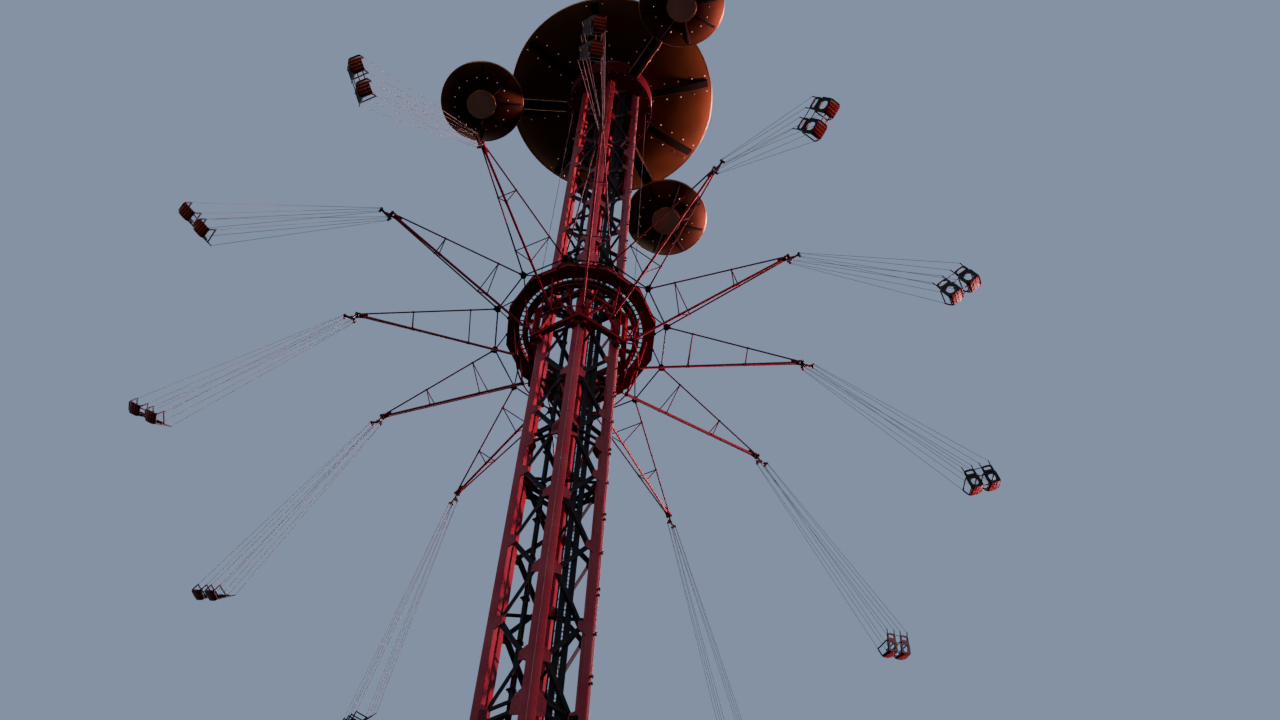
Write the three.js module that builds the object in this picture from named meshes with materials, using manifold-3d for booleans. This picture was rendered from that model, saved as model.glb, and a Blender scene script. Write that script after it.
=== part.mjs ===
// Tower chair swing ride, built as a 1:10 scale model. Millimetres, +Z up.
// The origin is the centre of the underside of the foundation plate.
import * as THREE from 'three';
import * as BufferGeometryUtils from 'three/addons/utils/BufferGeometryUtils.js';
import Module from 'manifold-3d';

const wasm = await Module();
wasm.setup();

// Running and seating gap between separate pieces.
const GAP = 0.3;

// Tower: six box legs on a hexagonal plan, with a zigzag of bars on each side.
const SIDES = 6;
const TURN = 360 / SIDES;
const TOWER_R = 223.4;
const TOWER_FLAT = TOWER_R * Math.cos(Math.PI / SIDES);
const LEG_WIDE = 34;
const LEG_DEEP = 28;
const LEG_MID = TOWER_R - 26;
const BASE_R = 285;
const BASE_THICK = 20;
const SHOE_SIDE = 74;
const SHOE_THICK = 12;
const SHOE_HIGH = 44;
const SECTION_JOINT = 4652;
const SECTION_LENGTH = 1918;
const SECTION_COUNT = 6;
const HALF_BAY = 274;
const BRACE_INSET = 12;
const BRACE_WIDTH = 12;
const BRACE_THICK = 8;

// Access ladder with its cage, behind the bracing of one side.
const LADDER_X = -5;
const LADDER_GAP = 16;
const LADDER_HALF = 28;
const LADDER_THICK = 6;
const CAGE_DEPTH = 74;

// Tower head: a drum round the legs, the big disc, three small discs on beams.
const DRUM_R = 294;
const DRUM_BOTTOM = 11686;
const DRUM_TOP = 11925;
const DRUM_WALL = 7;
const DISC_R = 727;
const DISC_RIM = 11997;
const DISC_RIM_HIGH = 18;
const DISC_TOP = 12070;
const DISC_RIBS = 8;
const DISC_RIB_TURN = 46.9;
const SMALL_R = 294;
const SMALL_OUT = 904;
const SMALL_RIM = 11686;
const SMALL_HUB_R = 103;
const SMALL_HUB_DROP = 66;
const SMALL_ANGLES = [150, 30, -90];
const BEAM_WIDE = 68;
const BEAM_HIGH = 82;

// Carriage: a hexagonal frame that rolls on the legs and carries the turning ring.
const FRAME_IN = 210;
const FRAME_OUT = 236;
const FRAME_BAR = 30;
const FRAME_LOW = 7590;
const FRAME_HIGH = 7884;
const PLATE_R = 290;
const PLATE_IN = 266;
const PLATE_THICK = 9;
const PLATE_SPOKES = 12;
const ROLLER_R = 14;
const ROLLER_WIDE = 20;
const ROLLER_LINE = (TOWER_R - LEG_WIDE) / 2;
const RACE_IN = 268;
const RACE_OUT = 284;

// Rotor: a twelve-sided band, a ring of ties, a lower ring and twelve arms.
const ARMS = 12;
const ROTOR_TURN = -117.34;
const STEP = 360 / ARMS;
const TIP_R = 1130;
const TIP_Z = 7884;
const BAND_OUT = 386;
const BAND_IN = 315;
const BAND_LOW = 7933;
const BAND_HIGH = 45;
const TIE_R = 440;
const TIE_Z = 7890;
const TIE_NODE = 14;
const LOWER_R = 300;
const LOWER_Z = 7624;
const LOWER_NODE = 11;
const CHORD_THIN = 7;
const CHORD_THICK = 12;
const FRAME_SHARES = [0.2, 0.62];
const FOOT_SHARE = 0.13;

// Swings: a yoke on a pin at each arm tip, eight chains and two seats.
const FLING = 32.7;
const TRAIL = 2.19;
const YOKE_DROP = 45;
const YOKE_HALF = 38;
const SEAT_DROP = 1371;
const SEAT_PITCH = 104;
const SEAT_WIDE = 73;
const SEAT_REAR = [-5, -8];
const BACK_LEAN = 33;
const BACK_LONG = 104;
const ARM_TIP = [44, 52];
const SIDE_THICK = 6;
const CHAIN = 1.8;

const LOOKS = {
  crimson: { color: 0x7a1a26, roughness: 0.45, metalness: 0.1 },
  brightRed: { color: 0x8e1026, roughness: 0.4, metalness: 0.1 },
  darkRed: { color: 0x3a0708, roughness: 0.55, metalness: 0.1 },
  black: { color: 0x0c0d10, roughness: 0.6, metalness: 0.3 },
  bronze: { color: 0x7a2f10, roughness: 0.4, metalness: 0.3 },
  steel: { color: 0x9a9a98, roughness: 0.35, metalness: 0.9 },
  chain: { color: 0x4a443e, roughness: 0.5, metalness: 0.8 },
  shell: { color: 0x131316, roughness: 0.5, metalness: 0.1 },
};

const model = new THREE.Group();

function rad(degrees) {
  return degrees * Math.PI / 180;
}

function polar(radius, degrees, z) {
  return [radius * Math.cos(rad(degrees)), radius * Math.sin(rad(degrees)), z];
}

// A closed mesh as a solid that can be joined and cut.
function solid(geometry) {
  const bare = geometry.index ? geometry.toNonIndexed() : geometry.clone();
  bare.deleteAttribute('normal');
  bare.deleteAttribute('uv');
  const merged = BufferGeometryUtils.mergeVertices(bare, 1e-4);
  return new wasm.Manifold(new wasm.Mesh({
    numProp: 3,
    vertProperties: new Float32Array(merged.attributes.position.array),
    triVerts: new Uint32Array(merged.index.array),
  }));
}

function shape(body) {
  const mesh = body.getMesh();
  const geometry = new THREE.BufferGeometry();
  geometry.setAttribute('position', new THREE.BufferAttribute(mesh.vertProperties, 3));
  geometry.setIndex(new THREE.BufferAttribute(mesh.triVerts, 1));
  return geometry;
}

function join(geometries) {
  let body = solid(geometries[0]);
  for (const geometry of geometries.slice(1)) {
    body = body.add(solid(geometry));
  }
  return body;
}

function box(low, high) {
  const geometry = new THREE.BoxGeometry(high[0] - low[0], high[1] - low[1], high[2] - low[2]);
  geometry.translate((low[0] + high[0]) / 2, (low[1] + high[1]) / 2, (low[2] + high[2]) / 2);
  return geometry;
}

// A straight bar of rectangular section between two points.
function bar(from, to, wide, high = wide) {
  const start = new THREE.Vector3(...from);
  const end = new THREE.Vector3(...to);
  const along = end.clone().sub(start);
  const length = along.length();
  along.normalize();
  const side = new THREE.Vector3(0, 0, 1).cross(along);
  if (side.length() < 1e-5) {
    side.set(0, 1, 0);
  }
  side.normalize();
  const up = along.clone().cross(side);
  const place = new THREE.Matrix4().makeBasis(along, side, up);
  place.setPosition(start.add(end).multiplyScalar(0.5));
  const geometry = new THREE.BoxGeometry(length, wide, high);
  geometry.applyMatrix4(place);
  return geometry;
}

// A straight rod of triangular section between two points.
function rod(from, to, radius) {
  const start = new THREE.Vector3(...from);
  const along = new THREE.Vector3(...to).sub(start);
  const geometry = new THREE.CylinderGeometry(radius, radius, along.length(), 3);
  geometry.translate(0, along.length() / 2, 0);
  const turn = new THREE.Quaternion();
  turn.setFromUnitVectors(new THREE.Vector3(0, 1, 0), along.clone().normalize());
  geometry.applyQuaternion(turn);
  geometry.translate(...start.toArray());
  return geometry;
}

// The point that lies a given distance from one point towards another.
function towards(from, to, distance) {
  const start = new THREE.Vector3(...from);
  const step = new THREE.Vector3(...to).sub(start).setLength(distance);
  return start.add(step).toArray();
}

function between(from, to, share) {
  return new THREE.Vector3(...from).lerp(new THREE.Vector3(...to), share).toArray();
}

// An upright prism with a regular outline; corners start at the given angle.
function prism(radius, sides, low, high, turn = 0) {
  const geometry = new THREE.CylinderGeometry(radius, radius, high - low, sides);
  geometry.rotateX(Math.PI / 2);
  geometry.rotateZ(Math.PI / 2 + rad(turn));
  geometry.translate(0, 0, (low + high) / 2);
  return geometry;
}

// A solid of revolution about the Z axis from points of radius and height.
function turned(points, sides) {
  const profile = points.map(([radius, z]) => new THREE.Vector2(radius, z));
  const geometry = new THREE.LatheGeometry(profile, sides);
  geometry.rotateX(Math.PI / 2);
  return geometry;
}

function put(name, geometry, look, parent = model) {
  const mesh = new THREE.Mesh(geometry, new THREE.MeshStandardMaterial(LOOKS[look]));
  mesh.name = name;
  parent.add(mesh);
  return mesh;
}

// Foundation plate that all six legs stand on.
function foundation() {
  put('foundation_plate', prism(BASE_R, SIDES, 0, BASE_THICK), 'black');
}

// One leg: a box column on a shoe plate, with a stiffener each way across it.
// Its section has an outer edge where two sides of the tower meet, a face along
// each of them, and a flat inner face.
function legs() {
  const cos = Math.cos(Math.PI / SIDES);
  const sin = Math.sin(Math.PI / SIDES);
  const face = [TOWER_R - LEG_WIDE * sin, LEG_WIDE * cos];
  const inner = [face[0] - LEG_DEEP * cos, face[1] - LEG_DEEP * sin];
  const section = [[TOWER_R, 0], face, inner, [inner[0], -inner[1]], [face[0], -face[1]]];
  const outline = new THREE.Shape(section.map(([x, y]) => new THREE.Vector2(x, y)));
  const low = BASE_THICK + GAP;
  const depth = DRUM_TOP - DRUM_WALL - GAP - low;
  const shoe = SHOE_SIDE / 2;
  const rib = shoe - 3;
  for (let index = 0; index < SIDES; index += 1) {
    const group = new THREE.Group();
    group.rotation.z = rad(index * TURN);
    model.add(group);
    const column = new THREE.ExtrudeGeometry(outline, { depth, bevelEnabled: false });
    column.translate(0, 0, low);
    const plate = box([LEG_MID - shoe, -shoe, low], [LEG_MID + shoe, shoe, low + SHOE_THICK]);
    const stiffX = box([LEG_MID - rib, -2, low], [LEG_MID + rib, 2, low + SHOE_HIGH]);
    const stiffY = box([LEG_MID - 2, -rib, low], [LEG_MID + 2, rib, low + SHOE_HIGH]);
    put(`leg_${index + 1}`, shape(join([column, plate, stiffX, stiffY])), 'crimson', group);
  }
}

// One side of the tower: a zigzag of flat bars, with a level bar at each joint
// between tower sections. The first bar starts at the given leg.
function bracing(firstSide) {
  const reach = TOWER_R / 2 - LEG_WIDE - GAP;
  const below = Math.round(SECTION_JOINT / HALF_BAY);
  const levels = [];
  for (let step = -below; step <= 26; step += 1) {
    levels.push(step);
  }
  const left = [];
  const right = [];
  const run = Math.hypot(2 * reach, HALF_BAY);
  const spread = (BRACE_WIDTH / 2) * run / (2 * reach);
  const crotch = (BRACE_WIDTH / 2) * run / HALF_BAY;
  for (const step of levels) {
    const z = SECTION_JOINT + step * HALF_BAY;
    const sign = step % 2 === 0 ? firstSide : -firstSide;
    const outer = [[sign * reach, z - spread], [sign * reach, z + spread]];
    const inner = [[sign * (reach - crotch), z]];
    right.push(...(sign > 0 ? outer : inner));
    left.push(...(sign > 0 ? inner : outer));
  }
  const outline = new THREE.Shape([...right, ...left.reverse()].map(([x, z]) => new THREE.Vector2(x, z)));
  const zigzag = new THREE.ExtrudeGeometry(outline, { depth: BRACE_THICK, bevelEnabled: false });
  zigzag.rotateX(Math.PI / 2);
  zigzag.translate(0, BRACE_THICK / 2, 0);
  let body = solid(zigzag);
  const floor = BASE_THICK + SHOE_HIGH + 2 * GAP;
  body = body.subtract(solid(box([-200, -20, -100], [200, 20, floor])));
  for (let joint = -2; joint < SECTION_COUNT - 2; joint += 1) {
    const z = SECTION_JOINT + joint * SECTION_LENGTH;
    body = body.add(solid(box([-reach, -BRACE_THICK / 2, z - 7], [reach, BRACE_THICK / 2, z + 7])));
  }
  return shape(body);
}

function bracingSides() {
  for (let index = 0; index < SIDES; index += 1) {
    const group = new THREE.Group();
    group.rotation.z = rad(2 * TURN + index * TURN);
    model.add(group);
    const panel = bracing(index % 2 === 0 ? 1 : -1);
    put(`bracing_${index + 1}`, panel, 'black', group).position.y = BRACE_INSET - TOWER_FLAT;
  }
}

// Ladder with wide side trays, some of its rungs, and a hooped cage inside.
function ladder() {
  const back = BRACE_INSET - TOWER_FLAT + BRACE_THICK / 2 + GAP;
  const low = BASE_THICK + GAP;
  const high = DRUM_BOTTOM - 20;
  const pieces = [];
  for (const sign of [-1, 1]) {
    const sides = [sign * LADDER_GAP / 2, sign * LADDER_HALF].sort((a, b) => a - b);
    pieces.push(box([LADDER_X + sides[0], back, low], [LADDER_X + sides[1], back + LADDER_THICK, high]));
  }
  for (let z = 120; z < high; z += 4 * HALF_BAY) {
    pieces.push(box([LADDER_X - LADDER_GAP, back + 1, z - 2], [LADDER_X + LADDER_GAP, back + 5, z + 2]));
  }
  const side = LADDER_HALF - 3;
  const corners = [[-side, 3], [-22, CAGE_DEPTH - 8], [22, CAGE_DEPTH - 8], [side, 3]];
  for (let z = 394; z < high; z += 4 * HALF_BAY) {
    for (let index = 0; index + 1 < corners.length; index += 1) {
      const from = [LADDER_X + corners[index][0], back + corners[index][1], z];
      const to = [LADDER_X + corners[index + 1][0], back + corners[index + 1][1], z];
      pieces.push(bar(from, to, 3, 6));
    }
  }
  for (const [x, y] of corners.slice(1, 3)) {
    const at = [LADDER_X + x, back + y];
    pieces.push(box([at[0] - 2, at[1] - 2, 391], [at[0] + 2, at[1] + 2, high]));
  }
  put('access_ladder', shape(join(pieces)), 'black');
}

// Drum round the tower head: a thin wall with a top plate on the leg tops and a
// bottom plate with a hexagonal hole that fits the tower.
function headDrum() {
  const inner = DRUM_R - DRUM_WALL;
  const outside = prism(DRUM_R, 32, DRUM_BOTTOM, DRUM_TOP);
  const inside = prism(inner, 32, DRUM_BOTTOM + DRUM_WALL, DRUM_TOP - DRUM_WALL);
  const hole = (TOWER_FLAT + GAP) / Math.cos(Math.PI / SIDES);
  const shaft = prism(hole, SIDES, DRUM_BOTTOM - 1, DRUM_BOTTOM + DRUM_WALL + 1);
  put('head_drum', shape(solid(outside).subtract(solid(inside)).subtract(solid(shaft))), 'darkRed');
}

// Big disc: a shallow cone below and above a thin rim, with ribs on its underside.
function bigDisc() {
  const low = DRUM_TOP + GAP;
  const rimLow = DISC_RIM - DISC_RIM_HIGH / 2;
  const rimHigh = DISC_RIM + DISC_RIM_HIGH / 2;
  const under = [[0, low], [DRUM_R, low], [DISC_R, rimLow]];
  const above = [[DISC_R, rimHigh], [150, DISC_TOP], [0, DISC_TOP]];
  const lens = turned([...under, ...above], 48);
  let body = solid(lens);
  for (let index = 0; index < DISC_RIBS; index += 1) {
    const rib = bar([DRUM_R + 6, 0, low + 2], [DISC_R - 8, 0, rimLow + 1], 54, 26);
    rib.rotateZ(rad(DISC_RIB_TURN + index * 360 / DISC_RIBS));
    body = body.add(solid(rib));
  }
  put('big_disc', shape(body), 'bronze');
}

// Small discs, each fixed under the end of its own beam from the drum.
function smallDiscs() {
  SMALL_ANGLES.forEach((angle, index) => {
    const group = new THREE.Group();
    group.rotation.z = rad(angle);
    model.add(group);
    const hub = SMALL_RIM - SMALL_HUB_DROP;
    const top = SMALL_RIM + 14;
    const under = [[0, hub], [SMALL_HUB_R, hub], [SMALL_HUB_R, hub + 12], [SMALL_R, SMALL_RIM]];
    const parts = [turned([...under, [SMALL_R, top], [0, top]], 24)];
    for (let rib = 0; rib < DISC_RIBS; rib += 1) {
      const piece = bar([SMALL_HUB_R - 10, 0, hub + 10], [SMALL_R - 4, 0, SMALL_RIM + 2], 20, 12);
      parts.push(piece.rotateZ(rad(rib * 45)));
    }
    for (const part of parts) {
      part.translate(SMALL_OUT, 0, 0);
    }
    const low = top - 2;
    parts.push(box([DRUM_R + GAP, -BEAM_WIDE / 2, low], [SMALL_OUT + 110, BEAM_WIDE / 2, low + BEAM_HIGH]));
    put(`small_disc_${index + 1}`, shape(join(parts)), 'darkRed', group);
  });
}

// A hexagonal ring of box bars round the tower.
function hexagonFrame(low, high) {
  const corner = Math.cos(Math.PI / SIDES);
  const outside = solid(prism(FRAME_OUT / corner, SIDES, low, high));
  return outside.subtract(solid(prism(FRAME_IN / corner, SIDES, low - 1, high + 1)));
}

// Carriage: an upper and a lower frame on corner posts, a ring plate on spokes
// for the turning ring, and a mount for each guide roller.
function carriage() {
  let body = hexagonFrame(FRAME_LOW, FRAME_LOW + FRAME_BAR);
  body = body.add(hexagonFrame(FRAME_HIGH, FRAME_HIGH + FRAME_BAR));
  const middle = (FRAME_IN + FRAME_OUT) / 2;
  for (let index = 0; index < SIDES; index += 1) {
    const post = box([247, -11, FRAME_LOW + 5], [264, 11, FRAME_HIGH + 5]);
    body = body.add(solid(post.rotateZ(rad(index * TURN))));
    for (const sign of [-1, 1]) {
      const foot = [middle, sign * 104, FRAME_LOW + 20];
      const brace = bar(foot, [middle, 0, FRAME_HIGH + 6], 12);
      body = body.add(solid(brace.rotateZ(rad((index + 0.5) * TURN))));
    }
  }
  const plateLow = FRAME_HIGH + FRAME_BAR - 1;
  const plate = solid(prism(PLATE_R, 36, plateLow, plateLow + PLATE_THICK));
  body = body.add(plate.subtract(solid(prism(PLATE_IN, 36, plateLow - 1, plateLow + PLATE_THICK + 1))));
  for (let index = 0; index < PLATE_SPOKES; index += 1) {
    const spoke = box([FRAME_OUT - 2, -9, plateLow - 9], [PLATE_IN + 6, 9, plateLow + PLATE_THICK]);
    spoke.rotateZ(rad((index + 0.5) * 360 / PLATE_SPOKES));
    body = body.add(solid(spoke));
  }
  const axle = TOWER_FLAT + ROLLER_R * Math.cos(Math.PI / 8) + GAP;
  const levels = [[FRAME_HIGH + FRAME_BAR - 1, 1], [FRAME_LOW + 1, -1]];
  for (const [z, way] of levels) {
    for (let index = 0; index < SIDES; index += 1) {
      for (const sign of [-1, 1]) {
        const span = [z, z + way * 30].sort((a, b) => a - b);
        const y = sign * ROLLER_LINE;
        const mount = box([axle, y - ROLLER_WIDE / 2, span[0]], [axle + 20, y + ROLLER_WIDE / 2, span[1]]);
        const wheel = new THREE.CylinderGeometry(ROLLER_R, ROLLER_R, ROLLER_WIDE - 4, 8);
        wheel.rotateY(Math.PI / 8);
        wheel.translate(axle, y, z + way * 16);
        for (const piece of [mount, wheel]) {
          body = body.add(solid(piece.rotateZ(rad((index + 0.5) * TURN))));
        }
      }
    }
  }
  put('carriage_frame', shape(body), 'darkRed');
  const raceLow = plateLow + PLATE_THICK + GAP;
  const outer = solid(prism(RACE_OUT, 36, raceLow, raceLow + 24));
  const race = outer.subtract(solid(prism(RACE_IN, 36, raceLow - 1, raceLow + 25)));
  put('slewing_ring', shape(race), 'steel');
}

const rotor = new THREE.Group();
rotor.rotation.z = rad(ROTOR_TURN);
model.add(rotor);

// Twelve-sided band with a round inside, and a turning race held by short tabs.
function band() {
  const high = BAND_LOW + BAND_HIGH;
  let body = solid(prism(BAND_OUT, ARMS, BAND_LOW, high, STEP / 2));
  body = body.subtract(solid(prism(BAND_IN, 36, BAND_LOW - 1, high + 1)));
  const raceIn = RACE_OUT + 1.5;
  const race = solid(prism(raceIn + 12, 36, BAND_LOW + 4, BAND_LOW + 26));
  body = body.add(race.subtract(solid(prism(raceIn, 36, BAND_LOW, high))));
  for (let index = 0; index < ARMS; index += 2) {
    const tab = box([raceIn + 8, -9, BAND_LOW + 6], [BAND_IN + 6, 9, BAND_LOW + 20]);
    tab.rotateZ(rad(index * STEP));
    body = body.add(solid(tab));
  }
  put('platform_band', shape(body), 'darkRed', rotor);
}

// Ring of ties: a node between each two arms, tie bars and two struts to the band.
function tieRing() {
  const pieces = [];
  for (let index = 0; index < ARMS; index += 1) {
    const angle = (index + 0.5) * STEP;
    const node = polar(TIE_R, angle, TIE_Z);
    const knot = prism(TIE_NODE, 6, TIE_Z - 7, TIE_Z + 7, angle);
    knot.translate(node[0], node[1], 0);
    pieces.push(knot);
    pieces.push(bar(node, polar(TIE_R, angle + STEP, TIE_Z), 7));
    for (const side of [-1, 1]) {
      const face = BAND_OUT * Math.cos(rad(STEP / 2)) / Math.cos(rad(STEP / 2 - 8));
      pieces.push(rod(node, polar(face + 3.3, angle + side * 8, BAND_LOW + 8), 3.2));
    }
  }
  put('tie_ring', shape(join(pieces)), 'black', rotor);
}

// Lower ring: a twelve-sided ring of rods with a post up to the band at each root.
function lowerRing() {
  const pieces = [];
  for (let index = 0; index < ARMS; index += 1) {
    const root = polar(LOWER_R, index * STEP, LOWER_Z);
    const knot = prism(LOWER_NODE, 6, LOWER_Z - 9, LOWER_Z + 9, (index + 1) * STEP);
    knot.translate(root[0], root[1], 0);
    pieces.push(knot);
    pieces.push(bar(root, polar(LOWER_R, (index + 1) * STEP, LOWER_Z), 8));
    pieces.push(bar(root, polar(BAND_IN + 22, index * STEP, BAND_LOW - 0.7), 9));
  }
  put('lower_ring', shape(join(pieces)), 'brightRed', rotor);
}

// One arm: two thin upper chords, one thick lower chord, two triangular frames
// and a fork with the swing's pin at the tip.
function arm(name, parent) {
  const back = TIP_R - 26;
  const tip = [back, 0, TIP_Z - 4];
  const upper = [-1, 1].map((side) => polar(TIE_R, side * STEP / 2, TIE_Z));
  const root = [LOWER_R, 0, LOWER_Z];
  const chordTop = upper.map((node) => [node, [back, Math.sign(node[1]) * 9, TIP_Z]]);
  const pieces = [box([back - 20, -14, TIP_Z - 14], [back + 14, 14, TIP_Z + 9])];
  for (const side of [-1, 1]) {
    pieces.push(box([back + 10, side * 10 - 3.5, TIP_Z - 9], [TIP_R + 9, side * 10 + 3.5, TIP_Z + 9]));
  }
  const pin = new THREE.CylinderGeometry(3, 3, 24, 6);
  pin.translate(TIP_R, 0, TIP_Z);
  pieces.push(pin);
  for (const [node, end] of chordTop) {
    pieces.push(bar(towards(node, end, TIE_NODE * Math.cos(rad(30)) + GAP + 0.4), end, CHORD_THIN));
  }
  pieces.push(bar(towards(root, tip, LOWER_NODE * Math.cos(rad(30)) + GAP + 2.9), tip, CHORD_THICK));
  for (const share of FRAME_SHARES) {
    const corners = chordTop.map(([node, end]) => between(node, end, share));
    const foot = between(root, tip, share + (1 - share) * FOOT_SHARE);
    pieces.push(rod(corners[0], corners[1], 3));
    pieces.push(rod(corners[0], foot, 3));
    pieces.push(rod(corners[1], foot, 3));
  }
  put(name, shape(join(pieces)), 'brightRed', parent);
}

// Yoke and chains in the hanging position, with the pin's axis along Y at the
// origin: an eye, a link, a radial beam with a crosspiece at each end, and four
// chains to each seat.
function yoke(name, parent) {
  const ring = new THREE.CylinderGeometry(8, 8, 11, 6);
  const hole = new THREE.CylinderGeometry(4.2, 4.2, 13, 6);
  const pieces = [];
  pieces.push(box([-4, -4, -YOKE_DROP], [4, 4, -6]));
  pieces.push(box([-YOKE_HALF, -5, -YOKE_DROP - 5], [YOKE_HALF, 5, -YOKE_DROP + 5]));
  for (const end of [-1, 1]) {
    const x = end * (YOKE_HALF - 6);
    pieces.push(box([x - 6, -12, -YOKE_DROP - 11], [x + 6, 12, -YOKE_DROP - 4]));
    for (const side of [-1, 1]) {
      const [horn, eye] = chainEnds(end, side);
      pieces.push(rod([x + side * 3, -9, -YOKE_DROP - 8], horn, CHAIN));
      pieces.push(rod([x + side * 3, 9, -YOKE_DROP - 8], eye, CHAIN));
    }
  }
  const body = join(pieces).add(solid(ring)).subtract(solid(hole));
  put(name, shape(body), 'chain', parent);
}

// A point on the seat's side, measured along the back and forward of it.
function onBack(along, forward = 0) {
  const lean = rad(BACK_LEAN);
  const y = SEAT_REAR[0] - along * Math.sin(lean) + forward * Math.cos(lean);
  const z = SEAT_REAR[1] + along * Math.cos(lean) + forward * Math.sin(lean);
  return [y, z - SEAT_DROP];
}

function onPan(forward, up) {
  return [SEAT_REAR[0] + forward, SEAT_REAR[1] + up - SEAT_DROP];
}

// Where the chains end: just above the seat's horn and the tip of its arm.
function chainEnds(end, side) {
  const x = end * SEAT_PITCH / 2 + side * (SEAT_WIDE - SIDE_THICK) / 2;
  const [hornY, hornZ] = onBack(BACK_LONG, 3);
  const [armY, armZ] = onPan(ARM_TIP[0] - 3, ARM_TIP[1]);
  return [[x, hornY, hornZ + 1.5], [x, armY, armZ + 1]];
}

// A slab with a side outline in Y and Z, and its thickness along X.
function slab(points, start, width, hole = null) {
  const outline = new THREE.Shape(points.map(([y, z]) => new THREE.Vector2(y, z)));
  if (hole) {
    outline.holes.push(new THREE.Path(hole.map(([y, z]) => new THREE.Vector2(y, z))));
  }
  const geometry = new THREE.ExtrudeGeometry(outline, { depth: width, bevelEnabled: false });
  return geometry.applyMatrix4(new THREE.Matrix4().set(0, 0, 1, start, 1, 0, 0, 0, 0, 1, 0, 0, 0, 0, 0, 1));
}

// Two seats side by side in the hanging position. Each has a pan, a back pad
// and a head bar between two side frames, which rise to a horn behind and carry
// an arm in front.
function seatPair(name, parent) {
  const outer = [onPan(46, -6), onPan(-3, -8), onBack(BACK_LONG, 0), onBack(BACK_LONG, SIDE_THICK),
    onBack(50, SIDE_THICK), onPan(ARM_TIP[0], ARM_TIP[1])];
  const loop = [onPan(5, 2), onPan(39, 2), onPan(38, 45), onBack(44, SIDE_THICK)];
  const pan = [onPan(45, -6), onPan(-3, -8), onPan(-3, 0), onPan(45, 2)];
  const pad = [onBack(39, 0), onBack(61, 0), onBack(61, 5), onBack(39, 5)];
  const head = [onBack(75, 0), onBack(81, 0), onBack(81, 5), onBack(75, 5)];
  const pieces = [];
  for (const end of [-1, 1]) {
    const x = end * SEAT_PITCH / 2;
    const half = SEAT_WIDE / 2;
    pieces.push(slab(outer, x - half, SIDE_THICK, loop));
    pieces.push(slab(outer, x + half - SIDE_THICK, SIDE_THICK, loop));
    for (const sheet of [pan, pad, head]) {
      pieces.push(slab(sheet, x - half + 3, SEAT_WIDE - 6));
    }
  }
  const gap = (SEAT_PITCH - SEAT_WIDE) / 2;
  const link = [onBack(40, 1), onBack(46, 1), onBack(46, 5), onBack(40, 5)];
  pieces.push(slab(link, -gap - 2, 2 * gap + 4));
  put(name, shape(join(pieces)), 'shell', parent);
}

function swings() {
  for (let index = 0; index < ARMS; index += 1) {
    const label = String(index + 1).padStart(2, '0');
    const radial = new THREE.Group();
    radial.rotation.z = rad(index * STEP);
    rotor.add(radial);
    arm(`arm_${label}`, radial);
    const flung = new THREE.Group();
    flung.position.set(TIP_R, 0, TIP_Z);
    flung.rotation.y = -rad(FLING);
    radial.add(flung);
    const hanging = new THREE.Group();
    hanging.rotation.x = -rad(TRAIL);
    flung.add(hanging);
    yoke(`swing_yoke_${label}`, hanging);
    seatPair(`seat_pair_${label}`, hanging);
  }
}

foundation();
legs();
bracingSides();
ladder();
headDrum();
bigDisc();
smallDiscs();
carriage();
band();
tieRing();
lowerRing();
swings();

export default model;
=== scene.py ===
import bpy
import numpy as np
from mathutils import Matrix


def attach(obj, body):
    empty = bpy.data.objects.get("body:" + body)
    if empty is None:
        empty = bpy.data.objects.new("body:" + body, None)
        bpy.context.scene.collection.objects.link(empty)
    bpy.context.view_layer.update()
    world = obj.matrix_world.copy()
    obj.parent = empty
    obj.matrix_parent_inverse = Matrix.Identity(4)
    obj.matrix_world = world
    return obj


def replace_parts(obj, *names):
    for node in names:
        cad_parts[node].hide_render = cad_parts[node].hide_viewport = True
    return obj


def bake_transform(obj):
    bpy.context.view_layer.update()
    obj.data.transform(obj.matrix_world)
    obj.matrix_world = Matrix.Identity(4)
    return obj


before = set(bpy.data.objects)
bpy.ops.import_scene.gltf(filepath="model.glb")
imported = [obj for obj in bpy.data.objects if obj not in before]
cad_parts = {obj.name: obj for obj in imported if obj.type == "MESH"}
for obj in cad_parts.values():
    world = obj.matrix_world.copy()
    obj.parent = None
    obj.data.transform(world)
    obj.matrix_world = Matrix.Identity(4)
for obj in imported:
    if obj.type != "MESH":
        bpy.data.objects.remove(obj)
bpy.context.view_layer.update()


# ---------------------------------------------------------------- camera
# The camera stands 3.7 m from the tower's axis and 160 mm above the floor,
# beside the near corner of the tower, and looks steeply up at the rotor.
def camera_axes(plan_turn, yaw, rise, tilt):
    """Right, up and forward of a camera: forward from its yaw and rise, the
    other two rolled about it by tilt, and all three turned in plan."""
    forward = np.array([np.sin(yaw) * np.cos(rise), np.cos(yaw) * np.cos(rise), np.sin(rise)])
    level = np.array([np.cos(yaw), -np.sin(yaw), 0.0])
    above = np.cross(level, forward)
    right = np.cos(tilt) * level + np.sin(tilt) * above
    up = -np.sin(tilt) * level + np.cos(tilt) * above
    c, s = np.cos(plan_turn), np.sin(plan_turn)
    plan = np.array([[c, -s, 0.0], [s, c, 0.0], [0.0, 0.0, 1.0]])
    return plan @ right, plan @ up, plan @ forward


CAMERA_TURN = np.radians(-25.91)
CAMERA_YAW, CAMERA_RISE, CAMERA_TILT = 0.084, 1.1183, 0.0537
CAMERA_OUT, CAMERA_HIGH = 3.66842, 0.16
FOCAL_PIXELS, PICTURE_WIDE = 1691.8, 1280

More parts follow.
